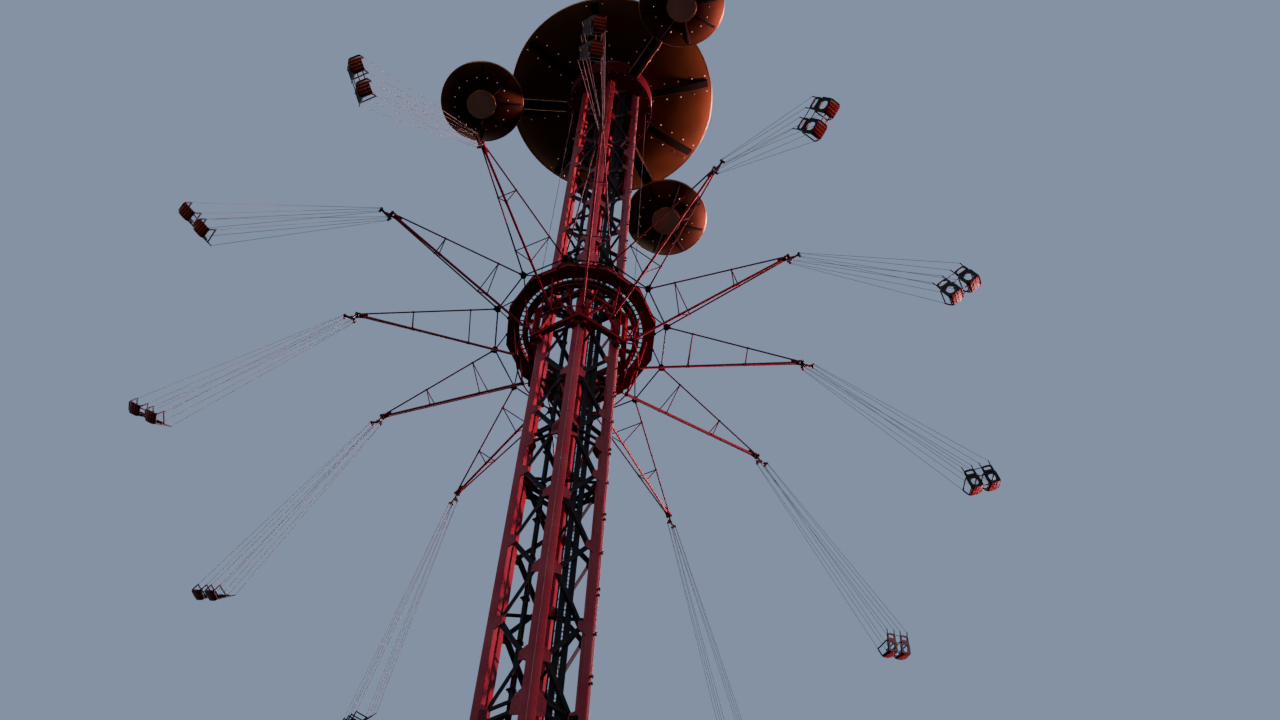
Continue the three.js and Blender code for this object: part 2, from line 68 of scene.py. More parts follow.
right, up, forward = camera_axes(CAMERA_TURN, CAMERA_YAW, CAMERA_RISE, CAMERA_TILT)
camera = bpy.data.cameras.new("camera")
camera.sensor_width = 36.0
camera.lens = FOCAL_PIXELS * camera.sensor_width / PICTURE_WIDE
camera.clip_start = 0.05
camera.clip_end = 200.0
viewer = bpy.data.objects.new("camera", camera)
place = np.eye(4)
place[:3, 0], place[:3, 1], place[:3, 2] = right, up, -forward
place[:3, 3] = CAMERA_OUT * np.sin(CAMERA_TURN), -CAMERA_OUT * np.cos(CAMERA_TURN), CAMERA_HIGH
viewer.matrix_world = Matrix(place.tolist())
bpy.context.scene.collection.objects.link(viewer)
bpy.context.scene.camera = viewer


# ---------------------------------------------------------------- studio
# A pale floor that throws little light back, a soft grey-blue surround, a warm
# light far out on one side, as from a low sun, and wide cool lights on the
# camera's side, above and behind.
def wired(tree, kind, feeds=None, **settings):
    """A node of one kind, with its settings, and each socket in feeds either
    linked to the socket given or set to the value given."""
    node = tree.nodes.new(kind)
    for name, value in settings.items():
        setattr(node, name, value)
    for socket, value in (feeds or {}).items():
        if isinstance(value, bpy.types.NodeSocket):
            tree.links.new(value, node.inputs[socket])
        else:
            node.inputs[socket].default_value = value
    return node


SURROUND = (0.27, 0.345, 0.50, 1.0)
SURROUND_STRENGTH = 0.85
SURROUND_LIGHT = 0.13
SURROUND_GLOSS = 0.18
FLOOR_HALF = 60.0
FLOOR_DEPTH = -0.002
FLOOR_TONES = (0.52, 0.54, 0.57, 1), (0.58, 0.59, 0.61, 1)
FLOOR_RETURN = (0.05, 0.05, 0.05, 1)
FLOOR_LIFT = (0.15, 0.19, 0.27, 1)
BLACK = (0, 0, 0, 1)
KEY_COLOUR = (1.0, 0.44, 0.50)
SIDE_COLOUR = (1.0, 0.80, 0.76)
LOW_COLOUR = (0.93, 0.96, 1.0)

surround = bpy.data.worlds.new("surround")
surround.use_nodes = True
tree = surround.node_tree
ray = wired(tree, "ShaderNodeLightPath")
unseen = wired(tree, "ShaderNodeMath", {0: ray.outputs["Is Glossy Ray"], 1: SURROUND_GLOSS, 2: SURROUND_LIGHT},
               operation="MULTIPLY_ADD")
strength = wired(tree, "ShaderNodeMapRange", {0: ray.outputs["Is Camera Ray"], 3: unseen.outputs[0],
                                              4: SURROUND_STRENGTH})
tree.nodes["Background"].inputs["Color"].default_value = SURROUND
tree.links.new(strength.outputs[0], tree.nodes["Background"].inputs["Strength"])
bpy.context.scene.world = surround

floor_paint = bpy.data.materials.new("floor_pale")
floor_paint.use_nodes = True
tree = floor_paint.node_tree
shader = tree.nodes["Principled BSDF"]
floor_place = wired(tree, "ShaderNodeTexCoord")
cloud = wired(tree, "ShaderNodeTexNoise", {"Vector": floor_place.outputs["Object"], "Scale": 0.6, "Detail": 4.0})
tone = wired(tree, "ShaderNodeMix", {0: cloud.outputs["Fac"], 6: FLOOR_TONES[0], 7: FLOOR_TONES[1]},
             data_type="RGBA")
floor_ray = wired(tree, "ShaderNodeLightPath")
shown = wired(tree, "ShaderNodeMix", {0: floor_ray.outputs["Is Camera Ray"], 6: FLOOR_RETURN, 7: tone.outputs[2]},
              data_type="RGBA")
lift = wired(tree, "ShaderNodeMix", {0: floor_ray.outputs["Is Camera Ray"], 6: BLACK, 7: FLOOR_LIFT},
             data_type="RGBA")
tree.links.new(shown.outputs[2], shader.inputs["Base Color"])
tree.links.new(lift.outputs[2], shader.inputs["Emission Color"])
shader.inputs["Emission Strength"].default_value = 1.0
shader.inputs["Roughness"].default_value = 0.9
shader.inputs["Specular IOR Level"].default_value = 0.1

floor_mesh = bpy.data.meshes.new("floor")
corners = [(-FLOOR_HALF, -FLOOR_HALF), (FLOOR_HALF, -FLOOR_HALF), (FLOOR_HALF, FLOOR_HALF), (-FLOOR_HALF, FLOOR_HALF)]
floor_mesh.from_pydata([(x, y, FLOOR_DEPTH) for x, y in corners], [], [(0, 1, 2, 3)])
floor_mesh.materials.append(floor_paint)
floor = bpy.data.objects.new("floor", floor_mesh)
bpy.context.scene.collection.objects.link(floor)


def soft_light(name, bearing, out, high, aim_high, size, watts, colour, beam):
    """A square light at a bearing, distance and height, turned to face a
    point on the tower's axis, with a beam of the given width in degrees."""
    lamp = bpy.data.lights.new(name, "AREA")
    lamp.shape = "SQUARE"
    lamp.size = size
    lamp.energy = watts
    lamp.color = colour
    lamp.spread = np.radians(beam)
    stand = bpy.data.objects.new(name, lamp)
    turn = np.radians(bearing)
    at = np.array([out * np.cos(turn), out * np.sin(turn), high])
    back = at - np.array([0.0, 0.0, aim_high])
    back /= np.linalg.norm(back)
    side = np.cross((0.0, 0.0, 1.0), back)
    side /= np.linalg.norm(side)
    set_up = np.eye(4)
    set_up[:3, 0], set_up[:3, 1], set_up[:3, 2], set_up[:3, 3] = side, np.cross(back, side), back, at
    stand.matrix_world = Matrix(set_up.tolist())
    bpy.context.scene.collection.objects.link(stand)
    return stand


# Bearing, distance, height, height faced, size, watts, colour and beam.
soft_light("key_warm", -6.0, 40.0, 12.0, 10.5, 2.5, 2300.0, KEY_COLOUR, 28.0)
soft_light("fill_sky", -134.0, 20.0, 8.5, 7.5, 8.0, 165.0, LOW_COLOUR, 60.0)
soft_light("fill_side", -72.0, 15.0, 8.0, 7.0, 6.0, 32.0, SIDE_COLOUR, 60.0)
soft_light("fill_back", 75.0, 22.0, 15.0, 7.0, 8.0, 700.0, LOW_COLOUR, 120.0)
soft_light("fill_left", 150.0, 22.0, 14.0, 7.0, 8.0, 350.0, LOW_COLOUR, 120.0)
soft_light("overhead", 64.0, 3.0, 26.0, 0.0, 12.0, 1300.0, LOW_COLOUR, 140.0).visible_glossy = False


# ------------------------------------------------------- foundation plate
# A six-sided steel plate that the leg shoes stand on, held by threaded
# anchors with nuts along each side.
MM = 0.001
BASE_R = 285.0
BASE_THICK = 20.0
SIXTHS = np.arange(6) * 60.0
COS_30 = np.cos(np.radians(30))
CLOUD_SCALE, PIT_SCALE, PIT_DEPTH = 5.0, 260.0, 0.00012
STREAK_STRETCH = (34.0, 34.0, 1.3)


def weathered_paint():
    """Node group: paint whose tone drifts in large clouds, with faded patches,
    grime that runs down in streaks, and fine pits. Puts out colour,
    roughness and height."""
    group = bpy.data.node_groups.new("weathered_paint", "ShaderNodeTree")
    for name, kind, start in (
        ("Place", "NodeSocketVector", None),
        ("Paint", "NodeSocketColor", (0.3, 0.03, 0.05, 1)),
        ("Faded", "NodeSocketColor", (0.4, 0.1, 0.1, 1)),
        ("Grime", "NodeSocketColor", (0.02, 0.015, 0.015, 1)),
        ("Fade Share", "NodeSocketFloat", 0.4),
        ("Grime Share", "NodeSocketFloat", 0.4),
        ("Gloss", "NodeSocketFloat", 0.35),
        ("Grain", "NodeSocketFloat", 1.0),
    ):
        socket = group.interface.new_socket(name=name, in_out="INPUT", socket_type=kind)
        if start is not None:
            socket.default_value = start
    for name, kind in (("Colour", "NodeSocketColor"), ("Roughness", "NodeSocketFloat"), ("Height", "NodeSocketFloat")):
        group.interface.new_socket(name=name, in_out="OUTPUT", socket_type=kind)
    enter = group.nodes.new("NodeGroupInput").outputs
    leave = group.nodes.new("NodeGroupOutput")
    scaled = wired(group, "ShaderNodeVectorMath", {0: enter["Place"], "Scale": enter["Grain"]}, operation="SCALE")
    drift = wired(group, "ShaderNodeTexNoise", {"Vector": scaled.outputs[0], "Scale": CLOUD_SCALE, "Detail": 5.0,
                                                 "Roughness": 0.6})
    faded = wired(group, "ShaderNodeMapRange", {0: drift.outputs["Fac"], 1: 0.42, 2: 0.72, 3: 0.0, 4: 1.0})
    faded_part = wired(group, "ShaderNodeMath", {0: faded.outputs[0], 1: enter["Fade Share"]}, operation="MULTIPLY")
    long = wired(group, "ShaderNodeVectorMath", {0: scaled.outputs[0], 1: STREAK_STRETCH}, operation="MULTIPLY")
    streak = wired(group, "ShaderNodeTexNoise", {"Vector": long.outputs[0], "Scale": 1.0, "Detail": 6.0,
                                                  "Roughness": 0.65})
    runs = wired(group, "ShaderNodeMapRange", {0: streak.outputs["Fac"], 1: 0.48, 2: 0.78, 3: 0.0, 4: 1.0})
    runs_part = wired(group, "ShaderNodeMath", {0: runs.outputs[0], 1: enter["Grime Share"]}, operation="MULTIPLY")
    pits = wired(group, "ShaderNodeTexNoise", {"Vector": scaled.outputs[0], "Scale": PIT_SCALE, "Detail": 3.0})
    base = wired(group, "ShaderNodeMix", {0: faded_part.outputs[0], 6: enter["Paint"], 7: enter["Faded"]},
                 data_type="RGBA")
    dirty = wired(group, "ShaderNodeMix", {0: runs_part.outputs[0], 6: base.outputs[2], 7: enter["Grime"]},
                  data_type="RGBA")
    dulled = wired(group, "ShaderNodeMath", {0: faded_part.outputs[0], 1: runs_part.outputs[0]}, operation="ADD")
    rough = wired(group, "ShaderNodeMath", {0: dulled.outputs[0], 1: 0.30, 2: enter["Gloss"]},
                  operation="MULTIPLY_ADD")
    group.links.new(dirty.outputs[2], leave.inputs["Colour"])
    group.links.new(rough.outputs[0], leave.inputs["Roughness"])
    group.links.new(pits.outputs["Fac"], leave.inputs["Height"])
    return group


WEATHERED = weathered_paint()


def painted(name, paint, faded, grime, fade_share=0.4, grime_share=0.4, gloss=0.32, grain=1.0,
            metallic=0.0, coat=0.0, shine=0.3):
    """A paint finish on the object's own coordinates, from the weathered
    group, with its pits as a bump."""
    material = bpy.data.materials.new(name)
    material.use_nodes = True
    tree = material.node_tree
    shader = tree.nodes["Principled BSDF"]
    own = wired(tree, "ShaderNodeTexCoord")
    worn = tree.nodes.new("ShaderNodeGroup")
    worn.node_tree = WEATHERED
    tree.links.new(own.outputs["Object"], worn.inputs["Place"])
    for socket, value in (("Paint", (*paint, 1)), ("Faded", (*faded, 1)), ("Grime", (*grime, 1)),
                          ("Fade Share", fade_share), ("Grime Share", grime_share), ("Gloss", gloss),
                          ("Grain", grain)):
        worn.inputs[socket].default_value = value
    bump = wired(tree, "ShaderNodeBump", {"Height": worn.outputs["Height"], "Strength": 0.35, "Distance": PIT_DEPTH})
    tree.links.new(worn.outputs["Colour"], shader.inputs["Base Color"])
    tree.links.new(worn.outputs["Roughness"], shader.inputs["Roughness"])
    tree.links.new(bump.outputs["Normal"], shader.inputs["Normal"])
    shader.inputs["Metallic"].default_value = metallic
    shader.inputs["Coat Weight"].default_value = coat
    shader.inputs["Coat Roughness"].default_value = 0.12
    shader.inputs["Specular IOR Level"].default_value = shine
    return material


def skin(rings, around=False):
    """Walls between rings of points that follow one another, shaped (bars,
    rings, points, 3), closed on themselves or with a flat face on each end."""
    bars, count, size = rings.shape[:3]
    index = np.arange(bars * count * size).reshape(bars, count, size)
    beside = np.roll(index, -1, axis=2)
    if around:
        walls = [index, beside, np.roll(beside, -1, axis=1), np.roll(index, -1, axis=1)]
        return rings.reshape(-1, 3), [np.stack(walls, axis=-1).reshape(-1, 4)]
    walls = [index[:, :-1], beside[:, :-1], beside[:, 1:], index[:, 1:]]
    ends = [index[:, 0, ::-1].reshape(-1, size), index[:, -1].reshape(-1, size)]
    return rings.reshape(-1, 3), [np.stack(walls, axis=-1).reshape(-1, 4), *ends]


def straight_bars(starts, ends, outline, toward=(0.0, 0.0, 1.0)):
    """Straight bars of one section: the outline's first coordinate runs
    square to the bar and to `toward`, and its second along their cross."""
    starts = np.atleast_2d(np.asarray(starts, float))
    ends = np.atleast_2d(np.asarray(ends, float))
    along = ends - starts
    along /= np.linalg.norm(along, axis=1, keepdims=True)
    side = np.cross(np.broadcast_to(toward, along.shape), along)
    flat = np.linalg.norm(side, axis=1) < 1e-6
    side[flat] = np.cross((0.0, 1.0, 0.0), along[flat])
    side /= np.linalg.norm(side, axis=1, keepdims=True)
    over = np.cross(along, side)
    outline = np.asarray(outline, float)
    section = outline[None, :, :1] * side[:, None] + outline[None, :, 1:] * over[:, None]
    return skin(np.stack([starts[:, None] + section, ends[:, None] + section], axis=1))


def round_outline(radius, count):
    """Points of a circle, counter-clockwise: the radius times the cosine and
    the sine of equal steps of angle."""
    angle = np.arange(count) * 2 * np.pi / count
    return radius * np.stack([np.cos(angle), np.sin(angle)], axis=1)


def turned(part, degrees):
    """A part, as points and faces, turned about the tower's axis by the
    cosine and sine of an angle in degrees."""
    c, s = np.cos(np.radians(degrees)), np.sin(np.radians(degrees))
    points, faces = part
    return points @ np.array([[c, s, 0.0], [-s, c, 0.0], [0.0, 0.0, 1.0]]), faces


def all_turned(parts, degrees):
    """Each of some parts turned about the tower's axis."""
    return [turned(part, degrees) for part in parts]


def upright(spots, low, high, outline):
    """Upright bars of one outline on a list of spots in plan, between two
    heights."""
    spots = np.asarray(spots, float)
    foot = np.column_stack([spots, np.full(len(spots), low)])
    return straight_bars(foot, foot + (0.0, 0.0, high - low), outline)


def piece(name, parts, material, body, crease=38.0):
    """One object from parts in millimetres. It rides on a body, unless none
    is given. Faces that meet at less than the crease, in degrees, are shaded
    as one curve."""
    corners, sizes, shift = [], [], 0
    for points, all_faces in parts:
        for faces in all_faces:
            corners.append((faces + shift).ravel())
            sizes.append(np.full(len(faces), faces.shape[1]))
        shift += len(points)
    corners = np.concatenate(corners).astype(np.int32)
    sizes = np.concatenate(sizes)
    starts = np.concatenate([[0], np.cumsum(sizes)[:-1]]).astype(np.int32)
    mesh = bpy.data.meshes.new(name)
    mesh.vertices.add(shift)
    mesh.vertices.foreach_set("co", (np.concatenate([p for p, _ in parts]) * MM).astype(np.float32).ravel())
    mesh.loops.add(len(corners))
    mesh.loops.foreach_set("vertex_index", corners)
    mesh.polygons.add(len(starts))
    mesh.polygons.foreach_set("loop_start", starts)
    mesh.polygons.foreach_set("use_smooth", np.ones(len(starts), bool))
    mesh.update(calc_edges=True)
    mesh.set_sharp_from_angle(angle=np.radians(crease))
    mesh.materials.append(material)
    made = bpy.data.objects.new(name, mesh)
    bpy.context.scene.collection.objects.link(made)
    if body:
        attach(made, body)
    return made


def repaint(node, paint):
    """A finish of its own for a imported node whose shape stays."""
    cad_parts[node].data.materials.clear()
    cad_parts[node].data.materials.append(paint)


black_steel = painted("black_steel", (0.006, 0.007, 0.009), (0.014, 0.013, 0.013), (0.012, 0.008, 0.007),
                      fade_share=0.5, grime_share=0.35, gloss=0.45, shine=0.14)
bolt_steel = painted("bolt_steel", (0.10, 0.10, 0.10), (0.20, 0.19, 0.18), (0.10, 0.05, 0.025),
                     gloss=0.34, grain=6.0, metallic=0.85)
repaint("foundation_plate", black_steel)

HEX = round_outline(1.0, 6)
anchor_row = np.linspace(-112.0, 112.0, 5)
anchor_at = np.column_stack([np.full(5, BASE_R * COS_30 - 10), anchor_row])
anchors = [upright(anchor_at, BASE_THICK - 1, BASE_THICK + 1.6, round_outline(7.5, 12)),
           upright(anchor_at, BASE_THICK + 1.5, BASE_THICK + 6.5, 5.4 * HEX),
           upright(anchor_at, BASE_THICK + 6, BASE_THICK + 12, round_outline(2.6, 8))]
nuts = [nut for bearing in SIXTHS + 30 for nut in all_turned(anchors, bearing)]
piece("anchor_nuts", nuts, bolt_steel, "tower")


# ------------------------------------------------------------------ legs
# Six box columns of welded plate in red gloss paint, each with a face along
# two sides of the tower, a bead down its outer edge painted pale as a painted
# highlight on that edge, and a stiffened shoe. They come in sections bolted
# together by inner flanges.
GAP = 0.3
TOWER_R = 223.4
LEG_WIDE, LEG_DEEP = 34.0, 28.0
LEG_MID = TOWER_R - 26.0
DRUM_TOP = 11925.0
SECTION_JOINT = 4652.0
SECTION_LENGTH = 1918.0
LEG_TOP = DRUM_TOP - 7.0 - GAP
LEG_FOOT = BASE_THICK + GAP
SHOE_WIDE, SHOE_THICK = 74.0, 12.0
STIFFENER_WIDE, STIFFENER_THICK, STIFFENER_HIGH = 68.0, 4.0, 32.0
FLANGE_GAP, FLANGE_THICK = 1.0, 5.0
BEAD_R, BEAD_TOP = 1.7, LEG_TOP - 244.0
JOINTS = SECTION_JOINT + SECTION_LENGTH * np.arange(-2, 4)


def soft_rectangle(wide, high, corner, steps=3):
    """Outline of a rectangle whose corners are quarter circles, each of a
    few equal steps of angle about a centre inside its corner."""
    turn = np.linspace(0, np.pi / 2, steps)
    quarter = np.radians([0, 90, 180, 270])[:, None] + turn
    centre = np.array([[1, 1], [-1, 1], [-1, -1], [1, -1]]) * (wide / 2 - corner, high / 2 - corner)
    return (centre[:, None] + corner * np.stack([np.cos(quarter), np.sin(quarter)], axis=-1)).reshape(-1, 2)


def rounded_path(points, radius, steps=5):
    """Points along a closed polygon whose corners are rounded. Each corner
    becomes a curve between the points a radius away from it: the squares of
    the shares weigh these two, and twice their product weighs the corner."""
    points = np.asarray(points, float)
    share = np.linspace(0, 1, steps)[:, None]
    a, b = (points + way * np.minimum(0.49, radius / np.linalg.norm(way, axis=1, keepdims=True))
            for way in (np.roll(points, 1, axis=0) - points, np.roll(points, -1, axis=0) - points))
    curves = (1 - share) ** 2 * a[:, None] + 2 * share * (1 - share) * points[:, None] + share ** 2 * b[:, None]
    return curves.reshape(-1, points.shape[1])


leg_red = painted("leg_red", (0.21, 0.012, 0.024), (0.24, 0.050, 0.066), (0.07, 0.008, 0.011),
                  fade_share=0.6, grime_share=0.4, gloss=0.24, coat=0.15)

leg_side = np.array([TOWER_R - LEG_WIDE * 0.5, LEG_WIDE * COS_30])
leg_back = leg_side - LEG_DEEP * np.array([COS_30, 0.5])
LEG_CORNERS = [(TOWER_R, 0.0), leg_side, leg_back, leg_back * (1, -1), leg_side * (1, -1)]
FLANGE = [(200, 29), (178, 40), (160, 30), (152, 18), (152, -18), (160, -30), (178, -40), (200, -29)]
axis = [(0.0, 0.0)]
shoe_at = [(LEG_MID, 0.0)]
column = [upright(axis, LEG_FOOT, LEG_TOP, rounded_path(LEG_CORNERS, 4.0)),
          upright(shoe_at, LEG_FOOT, LEG_FOOT + SHOE_THICK, soft_rectangle(SHOE_WIDE, SHOE_WIDE, 4.0))]
for wide, deep in ((STIFFENER_WIDE, STIFFENER_THICK), (STIFFENER_THICK, STIFFENER_WIDE)):
    column.append(upright(shoe_at, LEG_FOOT + SHOE_THICK - 2, LEG_FOOT + SHOE_THICK + STIFFENER_HIGH,
                          soft_rectangle(wide, deep, 0.8)))
# The bead is painted pale pink: a painted highlight where the leg's rounded outer edge catches light.
edge_highlight_bead = [upright([(TOWER_R - 1.9, 0.0)], LEG_FOOT + SHOE_THICK, BEAD_TOP, round_outline(BEAD_R, 8))]
pale_highlight_paint = painted("pale_highlight_paint", (0.34, 0.11, 0.12), (0.40, 0.22, 0.22), (0.14, 0.03, 0.04), gloss=0.3)
shoe_bolts = [(LEG_MID + 29 * a, 29 * b) for a in (-1, 1) for b in (-1, 1)]
flange_bolts = [(160, -14), (160, 14), (160, 0), (172, -26), (172, 26), (183, -30), (183, 30)]
bolts = [upright(shoe_bolts, LEG_FOOT + SHOE_THICK - 0.5, LEG_FOOT + SHOE_THICK + 5, 4.5 * HEX)]
for z in JOINTS:
    for foot in (z + FLANGE_GAP, z - FLANGE_GAP - FLANGE_THICK):
        column.append(upright(axis, foot, foot + FLANGE_THICK, FLANGE))
    bolts.append(upright(flange_bolts, z - 8.2, z + 8.2, 2.3 * HEX))
for number, degrees in enumerate(SIXTHS, 1):
    made = piece(f"leg_column_{number}", all_turned(column, degrees), leg_red, "tower")
    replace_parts(made, f"leg_{number}")
    piece(f"leg_edge_bead_{number}", all_turned(edge_highlight_bead, degrees), pale_highlight_paint, "tower")
    piece(f"leg_bolts_{number}", all_turned(bolts, degrees), bolt_steel, "tower")


# --------------------------------------------------------------- bracing
# Each side of the tower has a zigzag of angle bars between its two legs, two
# level bars at each section joint, and red gusset plates welded to the legs
# that the bars are bolted to. Three crossbars tie every second leg.
ANGLE_BAR = [(-9.6, 4.2), (6.8, 4.2), (6.8, -8.0), (9.6, -8.0), (9.6, 7.0), (-9.6, 7.0)]
TOWER_FLAT = TOWER_R * COS_30
HALF_BAY = 274.0
BAR_PLANE = TOWER_FLAT - 12.0
OUTWARD = (0.0, -1.0, 0.0)
STEPS = np.arange(-16, 27)
LEG_EDGE = TOWER_R / 2 - LEG_WIDE
NODE_OUT = 64.0
GUSSET_FACE, GUSSET_THICK, BOLT_FACE = 4.6, 4.0, 1.0
NODE_PLATE, JOINT_PLATE = (92.0, 32.0), (150.0, 34.0)
LEVEL_APART = 30.0
NODE_BOLTS = ((54, 12), (54, -10), (66, 24), (66, -26))
JOINT_BOLTS = ((52, 30), (66, 30), (52, -30), (66, -30), (56, 8), (56, -8))
CROSS_R, CROSS_RISES, CROSS_TOP = 188.0, (645.0, 1645.0), DRUM_TOP - 400


def at_heights(x, y, heights):
    """One spot in plan, at each of a list of heights."""
    return np.column_stack([np.full(len(heights), x), np.full(len(heights), y), heights])


def gusset(hand, heights, tall, reach):
    """Gusset plates on one leg: a plate that narrows away from the leg, with
    one cut corner, pushed through its thickness."""
    shape = np.array([(LEG_EDGE + 3, 0.46 * tall), (LEG_EDGE - 5, 0.46 * tall), (LEG_EDGE - reach, 0.2 * tall),
                      (LEG_EDGE - reach, -0.34 * tall), (LEG_EDGE + 3, -0.46 * tall)])
    if hand < 0:
        shape = shape[::-1] * (-1, 1)
    starts = at_heights(0.0, GUSSET_FACE - TOWER_FLAT, heights)
    return straight_bars(starts, starts + (0.0, -GUSSET_THICK, 0.0), shape)


zigzag_z = SECTION_JOINT + HALF_BAY * STEPS
level_start = at_heights(-LEG_EDGE, -BAR_PLANE, np.concatenate([JOINTS - LEVEL_APART, JOINTS + LEVEL_APART]))
for number, degrees in enumerate(SIXTHS, 1):
    first = 1 if number % 2 else -1
    sign = np.where(STEPS % 2 == 0, first, -first)
    knee = np.column_stack([sign * NODE_OUT, np.full(len(zigzag_z), -BAR_PLANE), zigzag_z])
    bars = [straight_bars(knee[:-1], knee[1:], ANGLE_BAR, OUTWARD),
            straight_bars(level_start, level_start * (-1, 1, 1), ANGLE_BAR, OUTWARD)]
    made = piece(f"bracing_bars_{number}", all_turned(bars, 120 + degrees), black_steel, "tower")
    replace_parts(made, f"bracing_{number}")
    plates, bolts = [], []
    for hand in (-1, 1):
        nodes = zigzag_z[sign == hand]
        plates += [gusset(hand, nodes, *NODE_PLATE), gusset(hand, JOINTS, *JOINT_PLATE)]
        for heights, places in ((nodes, NODE_BOLTS), (JOINTS, JOINT_BOLTS)):
            for across, rise in places:
                spot = at_heights(hand * across, BOLT_FACE - TOWER_FLAT, heights + rise)
                bolts.append(straight_bars(spot, spot + (0, -1.8, 0), 2.1 * HEX))
    piece(f"gusset_plates_{number}", all_turned(plates, 120 + degrees), leg_red, "tower")
    piece(f"gusset_bolts_{number}", all_turned(bolts, 120 + degrees), bolt_steel, "tower")

cross_z = np.concatenate([JOINTS + rise for rise in CROSS_RISES])
cross_z = cross_z[cross_z < CROSS_TOP]
tied = [at_heights(CROSS_R * np.cos(t), CROSS_R * np.sin(t), cross_z) for t in np.radians((180.0, 300.0, 60.0))]
crossbars = [straight_bars(a, b, soft_rectangle(12, 9, 1.5)) for a, b in zip(tied, tied[1:] + tied[:1])]
piece("plan_bars", crossbars, black_steel, "tower")


# ------------------------------------------- ladder, cable rail and pipe
# Inside one side a ladder runs up between two wide cable trays, with a
# hooped cage. A cable rail is clamped behind the bracing of the next side,
# and a thin pipe, painted pale pink as a painted highlight, runs in clips up
# the outer edge of a leg.
LADDER_X = -5.0
LADDER_BACK = -BAR_PLANE + 4.0 + GAP
LADDER_TOP = 11666.0
RUNG_FIRST, RUNG_PITCH = 60.0, 27.4
TRAY_IN, TRAY_OUT = 4.5, 28.0
TRAY_MID = (TRAY_IN + TRAY_OUT) / 2
TRAY = [(-11.7, 0), (-11.7, 6), (-10.3, 6), (-10.3, 1.4), (10.3, 1.4), (10.3, 6), (11.7, 6), (11.7, 0)][::-1]
HOOP_WIDE, HOOP_DEEP, HOOP_FIRST = 27.0, 50.0, 394.0

tray_at = [(LADDER_X - TRAY_MID, LADDER_BACK), (LADDER_X + TRAY_MID, LADDER_BACK)]
ladder = [upright(tray_at, LEG_FOOT, LADDER_TOP, TRAY)]
rung = at_heights(LADDER_X - TRAY_IN - 4, LADDER_BACK + 3, np.arange(RUNG_FIRST, LADDER_TOP - 20, RUNG_PITCH))
ladder.append(straight_bars(rung, rung + (2 * TRAY_IN + 8, 0, 0), round_outline(1.5, 6)))
bend = np.radians(np.linspace(8, 172, 11))
hoop_at = np.column_stack([LADDER_X + HOOP_WIDE * np.cos(bend), LADDER_BACK + 4 + HOOP_DEEP * np.sin(bend)])
hoop_z = np.arange(HOOP_FIRST, LADDER_TOP, HALF_BAY / 2)
for a, b in zip(hoop_at[:-1], hoop_at[1:]):
    ladder.append(straight_bars(at_heights(*a, hoop_z), at_heights(*b, hoop_z), soft_rectangle(1.6, 6.5, 0.5, 2)))
ladder.append(upright(hoop_at[[1, 3, 5, 7, 9]], HOOP_FIRST - 3, LADDER_TOP, soft_rectangle(6, 1.6, 0.5, 2)))
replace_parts(piece("ladder_and_cage", ladder, black_steel, "tower"), "access_ladder")

cables = [(LADDER_X + s * TRAY_MID + across, LADDER_BACK + 3.6) for s in (-1, 1) for across in (-5.6, -1.9, 1.9, 5.6)]
cable_black = painted("cable_black", (0.010, 0.010, 0.011), (0.02, 0.02, 0.021), (0.03, 0.024, 0.02), gloss=0.55)
piece("tray_cables", [upright(cables, LEG_FOOT, LADDER_TOP, round_outline(1.7, 8))], cable_black, "tower")

RAIL_X, RAIL_IN = 22.0, 166.0
CLAMP_FIRST, CLAMP_LAST = 380.0, 11600.0
lip_at = [(RAIL_X - 9.5, -RAIL_IN + 4), (RAIL_X + 9.5, -RAIL_IN + 4)]
clamp = at_heights(RAIL_X, -RAIL_IN + 2, np.arange(CLAMP_FIRST, CLAMP_LAST, HALF_BAY))
rail = [upright([(RAIL_X, -RAIL_IN)], LEG_FOOT, LADDER_TOP, soft_rectangle(14, 14, 2.0)),
        upright(lip_at, LEG_FOOT, LADDER_TOP, round_outline(2.0, 8)),
        straight_bars(clamp, clamp + (0, 0, 15), soft_rectangle(26, 19, 2)),
        straight_bars(clamp + (8, 6, 6), clamp + (8, 14, 6), 3.0 * HEX),
        straight_bars(clamp + (-16, -12, 8), clamp + (16, -12, 8), soft_rectangle(8, 6, 1))]
piece("cable_rail", all_turned(rail, -60), black_steel, "tower")

PIPE_OUT, PIPE_R, PIPE_TOP = TOWER_R + 4.6, 3.0, 11680.0
CLIP_FIRST, CLIP_LAST, CLIP_PITCH, CLIP_HALF = 320.0, 11500.0, 270.0, 20
outward = np.array([0.5, -COS_30, 0.0])
pipe_at = PIPE_OUT * np.array([np.cos(np.radians(-60)), np.sin(np.radians(-60))])
# The pipe's pale pink is a painted highlight along the leg's outer edge, in place of its own dark red.
pipe_highlight_paint = painted("pipe_highlight_paint", (0.58, 0.24, 0.24), (0.64, 0.36, 0.35), (0.20, 0.07, 0.07), gloss=0.2, coat=0.4)
pipe = upright([pipe_at], LEG_FOOT, PIPE_TOP, round_outline(PIPE_R, 12))
piece("leg_pipe", [pipe], pipe_highlight_paint, "tower")
clips = []
for step, z in enumerate(np.arange(CLIP_FIRST, CLIP_LAST, CLIP_PITCH)):
    for rise in ((-CLIP_HALF, CLIP_HALF) if step % 2 else (0,)):
        at = np.array([[*pipe_at, z + rise]]) - 5 * outward
        clips += [straight_bars(at, at + 11 * outward, soft_rectangle(9, 12, 1.5)),
                  straight_bars(at + 7 * outward + (0, 0, 4), at + 12 * outward + (0, 0, 4 if step % 2 else 12),
                                soft_rectangle(4, 5, 1))]
piece("pipe_clips", clips, black_steel, "tower")
